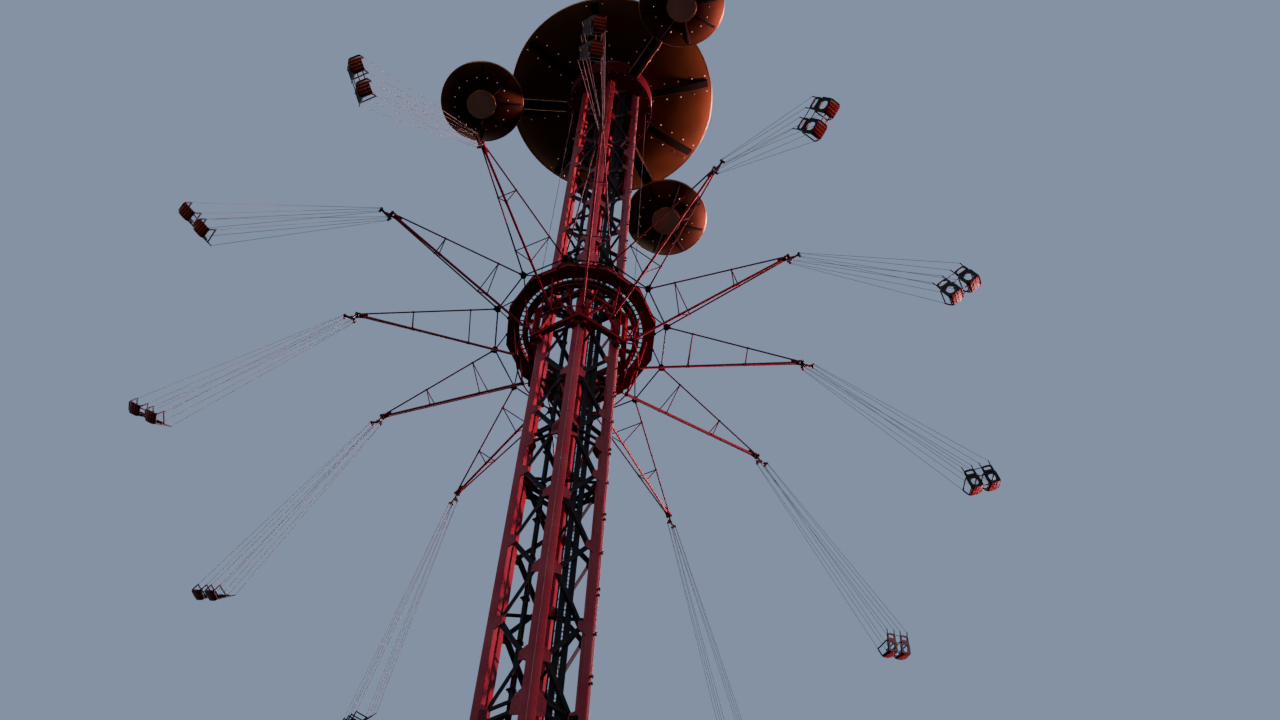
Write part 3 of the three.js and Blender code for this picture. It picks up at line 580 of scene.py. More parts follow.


# ------------------------------------------------------------ hoist ropes
# Two steel wire ropes run down outside opposite sides of the tower, from
# sockets under the head to lugs on the carriage. They shorten as it climbs;
# here each is drawn at one length and rides on no body.
ROPE_OUT, ROPE_R = 256.0, 1.6
ROPE_LOW, ROPE_HIGH = 7930.0, 11688.0
LUG_Z = 7916.0
rope_steel = painted("rope_steel", (0.16, 0.15, 0.15), (0.24, 0.23, 0.23), (0.06, 0.05, 0.045), gloss=0.4,
                     grain=8.0, metallic=0.6)
rope_at = [(ROPE_OUT, 0.0)]
strand = [upright(rope_at, ROPE_LOW, ROPE_HIGH, round_outline(ROPE_R, 10))]
lug = [straight_bars((ROPE_OUT - 26, 0, LUG_Z), (ROPE_OUT + 6, 0, LUG_Z), soft_rectangle(16, 5, 1)),
       upright(rope_at, LUG_Z - 2, LUG_Z + 28, round_outline(4.6, 12))]
socket = [upright(rope_at, ROPE_HIGH - 40, ROPE_HIGH + 2, round_outline(5.0, 12))]
for hand, degrees in (("left", 150.0), ("right", -30.0)):
    rope = piece(f"hoist_rope_{hand}", all_turned(strand, degrees), rope_steel, None)
    x, y = np.array([np.cos(np.radians(degrees)), np.sin(np.radians(degrees))]) * ROPE_OUT * MM
    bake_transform(rope)
    piece(f"rope_lug_{hand}", all_turned(lug, degrees), black_steel, "carriage")
    piece(f"rope_socket_{hand}", all_turned(socket, degrees), black_steel, "tower")


# ------------------------------------------------------------ head drum
# A drum of painted sheet metal round the head of the tower, open to the
# tower's shaft, with a rolled edge and small lamps round its lower rim.
DRUM_R = 294.0
DRUM_LOW = 11686.0
DRUM_LAMPS = 278.0


def revolved(profile, count, bearing=0.0, reach=None):
    """A closed profile of radius and height carried round the axis, drawn
    counter-clockwise. Where reach is given, it says how far each profile
    point lies from the axis at each angle."""
    angle = np.radians(bearing) - np.arange(count) * 2 * np.pi / count
    profile = np.asarray(profile, float)
    radius = np.tile(profile[:, 0], (count, 1)) if reach is None else reach(angle, profile)
    points = np.stack([radius * np.cos(angle)[:, None], radius * np.sin(angle)[:, None],
                       np.tile(profile[:, 1], (count, 1))], axis=-1)
    return skin(points[None], around=True)


def six_sided_bore(angle, profile):
    """Radius of each profile point: one with radius 0 lies on the six-sided
    shaft of the tower, and the others keep their own radius."""
    shaft = (TOWER_FLAT + GAP) / np.cos(angle % np.radians(60) - np.radians(30))
    return np.where(profile[None, :, 0] == 0, shaft[:, None], profile[None, :, 0])


drum_red = painted("drum_red", (0.065, 0.002, 0.005), (0.10, 0.009, 0.012), (0.012, 0.003, 0.003),
                   fade_share=0.4, grime_share=0.4, gloss=0.36, shine=0.2)
DRUM = [(0, DRUM_LOW), (DRUM_R - 3, DRUM_LOW), (DRUM_R, DRUM_LOW + 3), (DRUM_R, DRUM_LOW + 24),
        (DRUM_R - 4, DRUM_LOW + 28), (DRUM_R - 4, DRUM_TOP - 14), (DRUM_R, DRUM_TOP - 10), (DRUM_R, DRUM_TOP - 1),
        (0, DRUM_TOP - 1)]
drum = piece("drum_casing", [revolved(DRUM, 144, 0.0, six_sided_bore)], drum_red, "tower", crease=25.0)
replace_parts(drum, "head_drum")
rolled_edge = revolved(np.add(round_outline(2.4, 8), (DRUM_R - 1.5, DRUM_LOW)), 120)
piece("drum_edge", [rolled_edge], drum_red, "tower")


def spots_round(radius, angle, z):
    """Points round the tower's axis, at one radius and height and a list of
    angles."""
    return np.column_stack([radius * np.cos(angle), radius * np.sin(angle), np.full(len(angle), z)])


def lamp_domes(centres, downs, radius):
    """Small domes of four rings each, from just above their foot outward in
    the direction given: a ring's radius is the root of one less the square
    of its share of the dome's height."""
    centres, downs = np.atleast_2d(centres), np.atleast_2d(downs)
    downs = np.broadcast_to(downs / np.linalg.norm(downs, axis=1, keepdims=True), centres.shape)
    side = np.cross(downs, (0.0, 1.0, 0.0))
    side /= np.linalg.norm(side, axis=1, keepdims=True)
    over = np.cross(downs, side)
    rise = np.linspace(-0.15, 0.92, 4)
    angle = np.arange(8) * 2 * np.pi / 8
    circle = (np.cos(angle)[:, None, None] * side + np.sin(angle)[:, None, None] * over).transpose(1, 0, 2)
    wide = radius * np.sqrt(1 - rise ** 2)
    points = (centres[:, None, None] + wide[None, :, None, None] * circle[:, None]
              + radius * rise[None, :, None, None] * downs[:, None, None])
    return skin(points)


bulb_glass = bpy.data.materials.new("bulb_glass")
bulb_glass.use_nodes = True
tree = bulb_glass.node_tree
shader = tree.nodes["Principled BSDF"]
bulb_place = wired(tree, "ShaderNodeTexCoord")
milk = wired(tree, "ShaderNodeTexNoise", {"Vector": bulb_place.outputs["Object"], "Scale": 160.0, "Detail": 2.0})
milky = wired(tree, "ShaderNodeMix", {0: milk.outputs["Fac"], 6: (0.80, 0.70, 0.64, 1), 7: (0.92, 0.86, 0.80, 1)},
              data_type="RGBA")
tree.links.new(milky.outputs[2], shader.inputs["Base Color"])
tree.links.new(milky.outputs[2], shader.inputs["Emission Color"])
shader.inputs["Emission Strength"].default_value = 0.04
shader.inputs["Roughness"].default_value = 0.12
shader.inputs["Coat Weight"].default_value = 0.6

drum_lamps = spots_round(DRUM_LAMPS, np.radians(-64.6 + 12 * np.arange(30)), DRUM_LOW)
piece("drum_lamps", [lamp_domes(drum_lamps, (0, 0, -1), 2.6)], bulb_glass, "tower")


# -------------------------------------------------------------- big disc
# A shallow dish of sheet panels in bronze paint inside a thin rim, stiffened
# by eight dark box ribs, with a row of five lamps along each side of a rib.
# The rim is a paler bronze: a painted highlight along its edge.
DISC_R = 727.0
RIM_LOW, RIM_HIGH = 11988.0, 12006.0
DISC_TOP = 12070.0
RIB_TURN = 46.9
LAMP_ROW = 57.0
LAMP_OUT = np.array([299.0, 398.0, 498.0, 597.0, 688.0])


def stacked(steps, count):
    """A turned solid with a flat face below and above, from steps of radius
    and height that run from its foot to its head."""
    angle = np.arange(count) * 2 * np.pi / count
    radius = np.array([r for r, _ in steps])[:, None]
    height = np.array([z for _, z in steps])[:, None]
    points = np.stack([radius * np.cos(angle), radius * np.sin(angle), height + 0 * angle], axis=-1)
    return skin(points[None])


def bowl(radius, foot_r, edge_r, foot_z, edge_z, power):
    """Height of a dish's underside at each radius: flat beside its foot and
    steeper to its edge, as a power of the share of the way out."""
    share = np.clip((np.asarray(radius, float) - foot_r) / (edge_r - foot_r), 0, 1)
    return foot_z + (edge_z - foot_z) * share ** power


def curved_bar(radii, heights, outline):
    """A bar of one section along a row of radii and heights."""
    path = np.column_stack([radii, 0 * radii, heights])
    outline = np.asarray(outline, float)
    section = np.column_stack([np.zeros(len(outline)), outline])
    return skin((path[:, None] + section)[None])


bronze_paint = painted("bronze_paint", (0.11, 0.040, 0.012), (0.15, 0.055, 0.018), (0.02, 0.010, 0.007),
                       fade_share=0.35, grime_share=0.3, gloss=0.46, metallic=0.9)
rib_dark = painted("rib_dark", (0.008, 0.005, 0.004), (0.014, 0.008, 0.007), (0.006, 0.004, 0.004), gloss=0.6,
                   shine=0.05)
# The rim's bronze is paler than the dish's: a painted highlight for the bright line along the rim's edge.
rim_highlight_bronze = painted("rim_highlight_bronze", (0.34, 0.16, 0.07), (0.42, 0.22, 0.11), (0.12, 0.05, 0.03), fade_share=0.3,
                     grime_share=0.3, gloss=0.36, metallic=0.8)
DISC_BOWL = (DRUM_R, DISC_R - 5, DRUM_TOP + GAP, RIM_LOW - 0.7, 3.2)
RIM = [(DISC_R - 9, RIM_LOW - 3), (DISC_R - 2, RIM_LOW - 3), (DISC_R, RIM_LOW - 1), (DISC_R, RIM_HIGH + 1),
       (DISC_R - 3, RIM_HIGH + 2), (DISC_R - 9, RIM_HIGH + 1)]
RIB_OUTLINE = [(-27, 4), (-27, -5), (-22, -12), (22, -12), (27, -5), (27, 4)]

disc_out = np.linspace(DRUM_R, DISC_R - 5, 24)
disc_under = bowl(disc_out, *DISC_BOWL)
dish = stacked([*zip(disc_out, disc_under), (DISC_R - 2, RIM_LOW + 1), (DISC_R - 2, RIM_HIGH - 1),
                (DISC_R - 5, RIM_HIGH + 0.7), (150, DISC_TOP - 3), (140, DISC_TOP)], 160)
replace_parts(piece("disc_dish", [dish], bronze_paint, "tower", crease=20.0), "big_disc")
piece("disc_rim", [revolved(RIM, 160)], rim_highlight_bronze, "tower")

rib = curved_bar(disc_out[:-1], disc_under[:-1], RIB_OUTLINE)
ribs, lamps = [], []
for turn in RIB_TURN + 45 * np.arange(8):
    ribs.append(turned(rib, turn))
    for row in (-LAMP_ROW, LAMP_ROW):
        at = np.column_stack([LAMP_OUT, np.full(5, row), bowl(np.hypot(LAMP_OUT, row), *DISC_BOWL)])
        lamps.append(turned(lamp_domes(at, (0.15, 0, -1), 5.2), turn))
piece("disc_ribs", ribs, rib_dark, "tower")
piece("disc_lamps", lamps, bulb_glass, "tower")


# ----------------------------------------------------------- small discs
# Three smaller dishes, each under the end of a box beam from the drum, with a
# flat hub plate in a bronze ring, eight dark ribs and sixteen lamps. The hub
# ring, the rim and the tubes along the beams' lower edges take the rim's
# paler bronze, a painted highlight.
SMALL_R = 294.0
SMALL_OUT = 904.0
SMALL_RIM = 11686.0
SMALL_TOP = SMALL_RIM + 14.0
HUB_R = 103.0
HUB_LOW = SMALL_RIM - 66.0
SMALL_LAMPS = 190.0
SMALL_BOWL = (HUB_R - 2, SMALL_R - 4, HUB_LOW + 12, SMALL_RIM - 0.5, 2.2)
SMALL_EDGE = [(SMALL_R - 6, SMALL_RIM - 2.5), (SMALL_R - 2, SMALL_RIM - 2.5), (SMALL_R, SMALL_RIM - 0.5),
              (SMALL_R, SMALL_TOP), (SMALL_R - 6, SMALL_TOP + 1)]
HUB_COLLAR = [(HUB_R - 3.5, HUB_LOW - 0.8), (HUB_R - 0.6, HUB_LOW - 0.8), (HUB_R, HUB_LOW), (HUB_R, HUB_LOW + 13),
              (HUB_R - 3.5, HUB_LOW + 13)]
BEAM_WIDE, BEAM_HIGH = 68.0, 82.0
BEAM_LOW = SMALL_TOP - 1
BEAM_MID = BEAM_LOW + BEAM_HIGH / 2

small_paint = painted("small_disc_paint", (0.060, 0.018, 0.006), (0.09, 0.028, 0.009), (0.015, 0.008, 0.005),
                      fade_share=0.35, grime_share=0.35, gloss=0.46, metallic=0.9)
hub_metal = painted("hub_metal", (0.34, 0.20, 0.15), (0.42, 0.28, 0.22), (0.14, 0.08, 0.06), gloss=0.42,
                    grain=2.0, metallic=0.2)

small_out = np.linspace(HUB_R - 2, SMALL_R - 4, 14)
small_under = bowl(small_out, *SMALL_BOWL)
dish = stacked([*zip(small_out, small_under), (SMALL_R - 1, SMALL_RIM + 1.5), (SMALL_R - 1, SMALL_TOP - 2),
                (SMALL_R - 4, SMALL_TOP), (110, SMALL_TOP + 3)], 96)
hub = stacked([(HUB_R - 5, HUB_LOW), (HUB_R - 3.5, HUB_LOW), (HUB_R - 3.5, HUB_LOW + 14)], 64)
rims = [revolved(SMALL_EDGE, 96), revolved(HUB_COLLAR, 64)]
rib = curved_bar(small_out[:-1], small_under[:-1], [(-10, 3), (-10, -3), (-7, -7), (7, -7), (10, -3), (10, 3)])
ribs = [turned(rib, 45 * k) for k in range(8)]
lamp_at = spots_round(SMALL_LAMPS, np.radians(11.25 + 22.5 * np.arange(16)), bowl(SMALL_LAMPS, *SMALL_BOWL))
lamps = lamp_domes(lamp_at, (0, 0, -1), 4.4)
beam = [straight_bars((DRUM_R - 2, 0, BEAM_MID), (SMALL_OUT + 108, 0, BEAM_MID),
                      soft_rectangle(BEAM_WIDE, BEAM_HIGH, 3.0)),
        straight_bars((DRUM_R - 1, 0, BEAM_MID), (DRUM_R + 8, 0, BEAM_MID),
                      soft_rectangle(BEAM_WIDE + 26, BEAM_HIGH + 20, 4.0))]
beam_edges = [straight_bars((DRUM_R + 6, y, BEAM_LOW + 2.5), (SMALL_OUT - 286, y, BEAM_LOW + 2.5),
                            round_outline(3.0, 10)) for y in (-BEAM_WIDE / 2 - 1, BEAM_WIDE / 2 + 1)]


def at_small_disc(parts, degrees):
    """Parts drawn on the tower's axis, moved out to a small disc and turned
    to its beam."""
    return all_turned([(points + (SMALL_OUT, 0.0, 0.0), faces) for points, faces in parts], degrees)


for number, degrees in enumerate((150.0, 30.0, -90.0), 1):
    shell = piece(f"small_dish_{number}", at_small_disc([dish], degrees), small_paint, "tower",
                  crease=20.0)
    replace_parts(shell, f"small_disc_{number}")
    piece(f"small_hub_{number}", at_small_disc([hub], degrees), hub_metal, "tower", crease=20.0)
    piece(f"small_rims_{number}", at_small_disc(rims, degrees), rim_highlight_bronze, "tower")
    piece(f"small_ribs_{number}", at_small_disc(ribs, degrees), rib_dark, "tower")
    piece(f"small_lamps_{number}", at_small_disc([lamps], degrees), bulb_glass, "tower")
    piece(f"disc_beam_{number}", all_turned(beam, degrees), rib_dark, "tower")
    piece(f"beam_edges_{number}", all_turned(beam_edges, degrees), rim_highlight_bronze, "tower")


# -------------------------------------------------------------- carriage
# A welded frame that rolls on the legs: two six-sided rings on posts, a ring
# plate on spokes, tyres on the guide wheels, and the toothed slewing ring.
FRAME_OUT = 236.0
FRAME_LOW, FRAME_HIGH, FRAME_BAR = 7590.0, 7884.0, 30.0
PLATE_R, PLATE_IN, PLATE_THICK = 290.0, 266.0, 9.0
PLATE_LOW = FRAME_HIGH + FRAME_BAR - 1
RACE_IN, RACE_OUT = 268.0, 284.0
ROLLER_R, ROLLER_RISE = 14.0, 16.0
ROLLER_LINE = (TOWER_R - LEG_WIDE) / 2
TYRE_R, TYRE_HALF = 12.9, 8.5
WHEEL_HUB_R, WHEEL_HUB_HALF = 5.0, 10.4
AXLE_R, AXLE_HALF = 2.4, 11.6
PLATE_BOLTS = 278.0
TEETH, TOOTH_HALF, TOOTH_FROM = 72, 1.5, 278.0

dark_red = painted("dark_red", (0.16, 0.0035, 0.010), (0.19, 0.011, 0.018), (0.03, 0.003, 0.004), fade_share=0.4,
                   grime_share=0.4, gloss=0.4, shine=0.15)
repaint("carriage_frame", dark_red)

spoke = np.radians(5.0 + 10 * np.arange(36))
spoke = spoke[(np.degrees(spoke) - 15.0) % 30 > 1]
heading = spots_round(1.0, spoke, 0.0)
ring_edge = FRAME_OUT / np.cos(spoke % np.radians(60) - np.radians(30))
rise = np.array([0, 0, PLATE_LOW + 3.0])
near = ring_edge < PLATE_IN - 8
struts = [straight_bars((heading * (ring_edge[:, None] - 4) + rise)[near], (heading * (PLATE_IN + 3) + rise)[near],
                        soft_rectangle(7, 6, 1))]
for degrees in SIXTHS + 30:
    for hand in (-1, 1):
        strut = straight_bars((FRAME_OUT - 6, hand * 96, FRAME_LOW + 60), (PLATE_R - 22, hand * 70, PLATE_LOW + 1),
                              round_outline(4.5, 10))
        struts.append(turned(strut, degrees))
piece("carriage_struts", struts, dark_red, "carriage")

tyres, hubs = [], []
axle_x = TOWER_FLAT + ROLLER_R * np.cos(np.pi / 8) + GAP
for z in (FRAME_HIGH + FRAME_BAR - 1 + ROLLER_RISE, FRAME_LOW + 1 - ROLLER_RISE):
    for degrees in SIXTHS + 30:
        for y in (-ROLLER_LINE, ROLLER_LINE):
            for radius, half, store in ((TYRE_R, TYRE_HALF, tyres), (WHEEL_HUB_R, WHEEL_HUB_HALF, hubs),
                                        (AXLE_R, AXLE_HALF, hubs)):
                roll = straight_bars((axle_x, y - half, z), (axle_x, y + half, z), round_outline(radius, 20))
                store.append(turned(roll, degrees))
piece("wheel_tyres", tyres, cable_black, "carriage")
piece("wheel_axles", hubs, bolt_steel, "carriage")

slewing_grey = painted("slewing_grey", (0.12, 0.10, 0.10), (0.20, 0.18, 0.17), (0.03, 0.02, 0.018), gloss=0.4,
                       grain=3.0, metallic=0.6)


def toothed(angle, profile):
    """Radius of each profile point: those beyond the race's middle step in
    and out by the height of a tooth."""
    tooth = TOOTH_HALF * np.sign(np.sin(angle * TEETH + 0.01))
    outer = profile[None, :, 0] > TOOTH_FROM
    return profile[None, :, 0] + np.where(outer, tooth[:, None] - TOOTH_HALF, 0.0)


race_low = PLATE_LOW + PLATE_THICK + GAP
race = [(RACE_IN, race_low), (RACE_OUT, race_low), (RACE_OUT, race_low + 24), (RACE_IN, race_low + 24)]
ring = piece("slewing_teeth", [revolved(race, 288, 0.0, toothed)], slewing_grey, "carriage", crease=20.0)
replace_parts(ring, "slewing_ring")
bolt_at = spots_round(PLATE_BOLTS, np.radians(np.arange(0, 360, 10)), PLATE_LOW + 0.2)
piece("plate_bolts", [straight_bars(bolt_at, bolt_at - (0, 0, 3.5), 3.2 * HEX)], bolt_steel, "carriage")


# ----------------------------------------------------- rotor: band, rings
# A twelve-sided box band with a bolted turning race inside it, a ring of
# tubes that ties the arms' upper chords, and a lower ring on twelve posts.
ARMS = 12
STEP = 30.0
ROTOR_TURN = -117.34
BAND_OUT, BAND_IN = 386.0, 315.0
BAND_LOW, BAND_HIGH = 7933.0, 45.0
TIE_R, TIE_Z = 440.0, 7890.0
STAY_SWING = 8.0
LOWER_R, LOWER_Z = 300.0, 7624.0
TURNING_IN, TURNING_OUT = 285.5, 297.5

arm_red = painted("arm_red", (0.20, 0.005, 0.018), (0.22, 0.020, 0.034), (0.05, 0.004, 0.008), fade_share=0.35,
                  grime_share=0.35, gloss=0.42, shine=0.15)


def twelve_sides(angle, profile):
    """Radius of each profile point: one beyond the bore lies on a
    twelve-sided outline with its corners between the arms."""
    turn = (np.degrees(angle) - ROTOR_TURN) % STEP - STEP / 2
    flat = np.cos(np.radians(STEP / 2)) / np.cos(np.radians((turn % STEP) - STEP / 2))
    share = np.where(profile[None, :, 0] > BAND_IN + 10, flat[:, None], 1.0)
    return profile[None, :, 0] * share


top = BAND_LOW + BAND_HIGH
band = [(BAND_IN, BAND_LOW), (BAND_OUT, BAND_LOW), (BAND_OUT, BAND_LOW + 5), (BAND_OUT - 4, BAND_LOW + 5),
        (BAND_OUT - 4, top - 5), (BAND_OUT, top - 5), (BAND_OUT, top), (BAND_IN, top), (BAND_IN, top - 5),
        (BAND_IN + 3, top - 5), (BAND_IN + 3, BAND_LOW + 5), (BAND_IN, BAND_LOW + 5)]
shell = piece("band_shell", [revolved(band, 144, ROTOR_TURN, twelve_sides)], dark_red, "rotor",
              crease=20.0)
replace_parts(shell, "platform_band")
turning = [(TURNING_IN, BAND_LOW + 4), (TURNING_OUT, BAND_LOW + 4), (TURNING_OUT, BAND_LOW + 26),
           (TURNING_IN, BAND_LOW + 26)]
heading = spots_round(1.0, np.radians(ROTOR_TURN + 2.5 + 5 * np.arange(72)), 0.0)
rise = np.array([0, 0, BAND_LOW + 10.0])
brackets = straight_bars(heading * (TURNING_OUT - 1) + rise, heading * (BAND_IN + 4) + rise, soft_rectangle(5, 8, 1))
piece("band_race", [revolved(turning, 120), brackets], slewing_grey, "rotor")
seam = straight_bars((BAND_IN + 3, 0, BAND_LOW + 0.5), (BAND_OUT - 3, 0, BAND_LOW + 0.5), soft_rectangle(5, 3, 0.8))
heads = np.array([(x, y, BAND_LOW + 0.5) for x in (BAND_IN + 8, BAND_OUT - 22) for y in (-46, -22, 22, 46)])
band_bolts = straight_bars(heads, heads - (0, 0, 3), 2.6 * HEX)
under = []
for k in range(ARMS):
    under += [turned(seam, ROTOR_TURN + STEP * (k + 0.5)), turned(band_bolts, ROTOR_TURN + STEP * k)]
piece("band_seams", under, dark_red, "rotor")


def on_ring(radius, steps, z):
    """Points round the rotor, at steps between arms counted from the first."""
    return spots_round(radius, np.radians(ROTOR_TURN + STEP * np.asarray(steps, float)), z)


arm_steps = np.arange(ARMS)
knots = on_ring(TIE_R, arm_steps + 0.5, TIE_Z)
ties = [straight_bars(knots - (0, 0, 9), knots + (0, 0, 9), round_outline(11, 12)),
        straight_bars(knots - (0, 0, 11), knots - (0, 0, 8), round_outline(15, 12)),
        straight_bars(knots + (0, 0, 8), knots + (0, 0, 11), round_outline(15, 12)),
        straight_bars(knots, on_ring(TIE_R, arm_steps + 1.5, TIE_Z), round_outline(3.6, 10))]
band_face = BAND_OUT * np.cos(np.radians(15)) / np.cos(np.radians(15 - STAY_SWING))
for swing in (-STAY_SWING, STAY_SWING):
    foot = on_ring(band_face + 2.0, arm_steps + 0.5 + swing / STEP, BAND_LOW + 8)
    ties += [straight_bars(knots, foot, round_outline(3.0, 10)),
             straight_bars(foot - (0, 0, 7), foot + (0, 0, 7), round_outline(5.0, 8))]
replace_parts(piece("tie_tubes", ties, black_steel, "rotor"), "tie_ring")

roots = on_ring(LOWER_R, arm_steps, LOWER_Z)
heads = on_ring(BAND_IN + 22, arm_steps, BAND_LOW - 0.5)
hoop = revolved(np.add(round_outline(4.0, 8), (LOWER_R - 1, LOWER_Z)), 144)
lower = [hoop, straight_bars(roots, heads, round_outline(4.6, 10)),
         straight_bars(roots - (0, 0, 10), roots + (0, 0, 10), round_outline(9.5, 12)),
         straight_bars(heads - (0, 0, 4), heads + (0, 0, 0.6), round_outline(10, 12))]
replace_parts(piece("lower_tubes", lower, arm_red, "rotor"), "lower_ring")


# ------------------------------------------------------------------ arms
# Twelve arms welded from painted tube: two slender upper chords, one stout
# lower chord, two triangular frames, and a forked head with the swing's pin.
TIP_R, TIP_Z = 1130.0, 7884.0
HEAD = TIP_R - 26
FRAME_SHARES = (0.2, 0.62)
FOOT_SHARE = 0.13
LOWER_TUBE, UPPER_TUBE, FRAME_TUBE = 6.2, 3.9, 2.7


def shared(a, b, share):
    """The point that lies a share of the way from a to b."""
    return np.asarray(a, float) + (np.asarray(b, float) - np.asarray(a, float)) * share


# The upper chords and frames take a darker copy of the arms' red: painted shade for tubes that lie in shade, over the
# lower chord's own red.
shaded_web_red = painted("shaded_web_red", (0.09, 0.003, 0.008), (0.12, 0.012, 0.018), (0.02, 0.003, 0.004), fade_share=0.35,
                  grime_share=0.35, gloss=0.4, shine=0.15)
half = np.radians(STEP / 2)
tip = np.array([HEAD, 0, TIP_Z - 4])
root = np.array([LOWER_R, 0, LOWER_Z])
chords = [(np.array([TIE_R * np.cos(half), s * TIE_R * np.sin(half), TIE_Z]), np.array([HEAD, 9.0 * s, TIP_Z]))
          for s in (-1, 1)]
arm = [straight_bars(shared(root, tip, 0.012), tip, round_outline(LOWER_TUBE, 12)),
       straight_bars((HEAD - 20, 0, TIP_Z - 3), (HEAD + 13, 0, TIP_Z - 2), soft_rectangle(22, 16, 3)),
       straight_bars((HEAD - 30, 0, TIP_Z - 1), (HEAD - 18, 0, TIP_Z - 1), soft_rectangle(17, 11, 3))]
web = []
for s, (knot, end) in zip((-1, 1), chords):
    arm.append(straight_bars((HEAD + 8, 10 * s, TIP_Z), (TIP_R + 8, 10 * s, TIP_Z), soft_rectangle(6, 14, 2.5)))
    collar = shared(knot, end, 0.021)
    web += [straight_bars(collar, end, round_outline(UPPER_TUBE, 10)),
            straight_bars(collar, shared(knot, end, 0.034), round_outline(6.5, 10))]
for share in FRAME_SHARES:
    above = [shared(knot, end, share) for knot, end in chords]
    foot = shared(root, tip, share + (1 - share) * FOOT_SHARE)
    web.append(straight_bars([above[0], above[0], above[1]], [above[1], foot, foot], round_outline(FRAME_TUBE, 8)))
    arm.append(straight_bars(shared(foot, root, 0.02), shared(foot, tip, 0.02), round_outline(7.4, 12)))
    web += [straight_bars(spot - (6, 0, 0), spot + (6, 0, 0), round_outline(5.2, 10)) for spot in above]
pin = [straight_bars((TIP_R, -14.5, TIP_Z), (TIP_R, 14.5, TIP_Z), round_outline(3.0, 12)),
       straight_bars([(TIP_R, -16.5, TIP_Z), (TIP_R, 13.5, TIP_Z)], [(TIP_R, -13.5, TIP_Z), (TIP_R, 16.5, TIP_Z)],
                     5.0 * HEX)]
for k in range(ARMS):
    label, bearing = f"{k + 1:02d}", ROTOR_TURN + STEP * k
    made = piece(f"arm_tubes_{label}", all_turned(arm, bearing), arm_red, "rotor")
    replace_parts(made, f"arm_{label}")
    piece(f"arm_web_{label}", all_turned(web, bearing), shaded_web_red, "rotor")
    piece(f"arm_pin_{label}", all_turned(pin, bearing), bolt_steel, "rotor")


# ---------------------------------------------------------------- swings
# Each swing hangs from its pin by an eye and a spreader bar with two
# crossheads. Four chains go from each crosshead to a seat: two to the horns
# of its back and two to the tips of its arms.
FLING, TRAIL = 32.7, 2.19
YOKE_DROP, YOKE_HALF = 45.0, 38.0
SEAT_DROP, SEAT_PITCH = 1371.0, 104.0
SEAT_REAR = (-5.0, -8.0)
BACK_LEAN = np.radians(33.0)
LINK, LINK_WIDE, LINK_THIN = 7.2, 1.3, 0.55
LINK_STEPS = (0.0, 0.22, 0.5, 0.72)
HORN, HORN_TOP, ARM_LOOP = 28.5, 103.0, 33.5


def flung(part, arm_number):
    """A part drawn hanging under its pin, tilted back by its trail, flung
    outward, and put on the arm of that number: two turns and a shift."""
    a, b = np.radians(-TRAIL), np.radians(-FLING)
    trail = np.array([[1, 0, 0], [0, np.cos(a), -np.sin(a)], [0, np.sin(a), np.cos(a)]])
    fling = np.array([[np.cos(b), 0, np.sin(b)], [0, 1, 0], [-np.sin(b), 0, np.cos(b)]])
    points = part[0] @ trail.T @ fling.T + (TIP_R, 0, TIP_Z)
    return turned((points, part[1]), ROTOR_TURN + STEP * arm_number)


def on_back(along, forward):
    """A point of the seat's side, along its leaning back and forward of it,
    as (y, z)."""
    return (SEAT_REAR[0] - along * np.sin(BACK_LEAN) + forward * np.cos(BACK_LEAN),
            SEAT_REAR[1] + along * np.cos(BACK_LEAN) + forward * np.sin(BACK_LEAN) - SEAT_DROP)


def link_chain(start, end):
    """A chain between two points: one long skin whose section is wide one
    way, then wide the other, as the links of a chain lie."""
    start, end = np.asarray(start, float), np.asarray(end, float)
    length = np.linalg.norm(end - start)
    along = (end - start) / length
    side = np.cross(along, (0.0, 1.0, 0.0))
    side /= np.linalg.norm(side)
    over = np.cross(side, along)
    count = int(length / LINK)
    step = np.tile(LINK_STEPS, count)
    at = (np.repeat(np.arange(count), 4) + step) * (length / count)
    wide = np.tile([LINK_WIDE, LINK_WIDE, LINK_THIN, LINK_THIN], count)
    deep = np.tile([LINK_THIN, LINK_THIN, LINK_WIDE, LINK_WIDE], count)
    centre = start + at[:, None] * along
    corner = [(1, 0), (0, 1), (-1, 0), (0, -1)]
    rings = np.stack([centre + a * wide[:, None] * over + b * deep[:, None] * side for a, b in corner], axis=1)
    return skin(rings[None])


def inside_out(part):
    """A part with the corners of each face in the opposite order, where its
    rings were drawn the other way round."""
    return part[0], [faces[:, ::-1] for faces in part[1]]


chain_steel = painted("chain_steel", (0.13, 0.10, 0.10), (0.18, 0.15, 0.15), (0.05, 0.035, 0.03), gloss=0.6,
                      grain=10.0, metallic=0.2, shine=0.2)
yoke_steel = painted("yoke_steel", (0.05, 0.012, 0.014), (0.12, 0.04, 0.04), (0.012, 0.010, 0.010), gloss=0.38,
                     grain=3.0, metallic=0.2)
drop = np.array([0.0, 0.0, -YOKE_DROP])
eye, eye_faces = revolved([(4.2, -4), (8, -4), (8, 4), (4.2, 4)], 24)
yoke = [inside_out((eye[:, [0, 2, 1]], eye_faces)),
        straight_bars((0, 0, -7), drop, soft_rectangle(9, 8, 2)),
        straight_bars(drop + (0, 0, 13), drop + (0, 0, 3), soft_rectangle(20, 12, 2)),
        straight_bars(drop - (YOKE_HALF, 0, 0), drop + (YOKE_HALF, 0, 0), soft_rectangle(10, 10, 2.5))]
chains = []
horn_y, horn_z = on_back(HORN_TOP, 3)
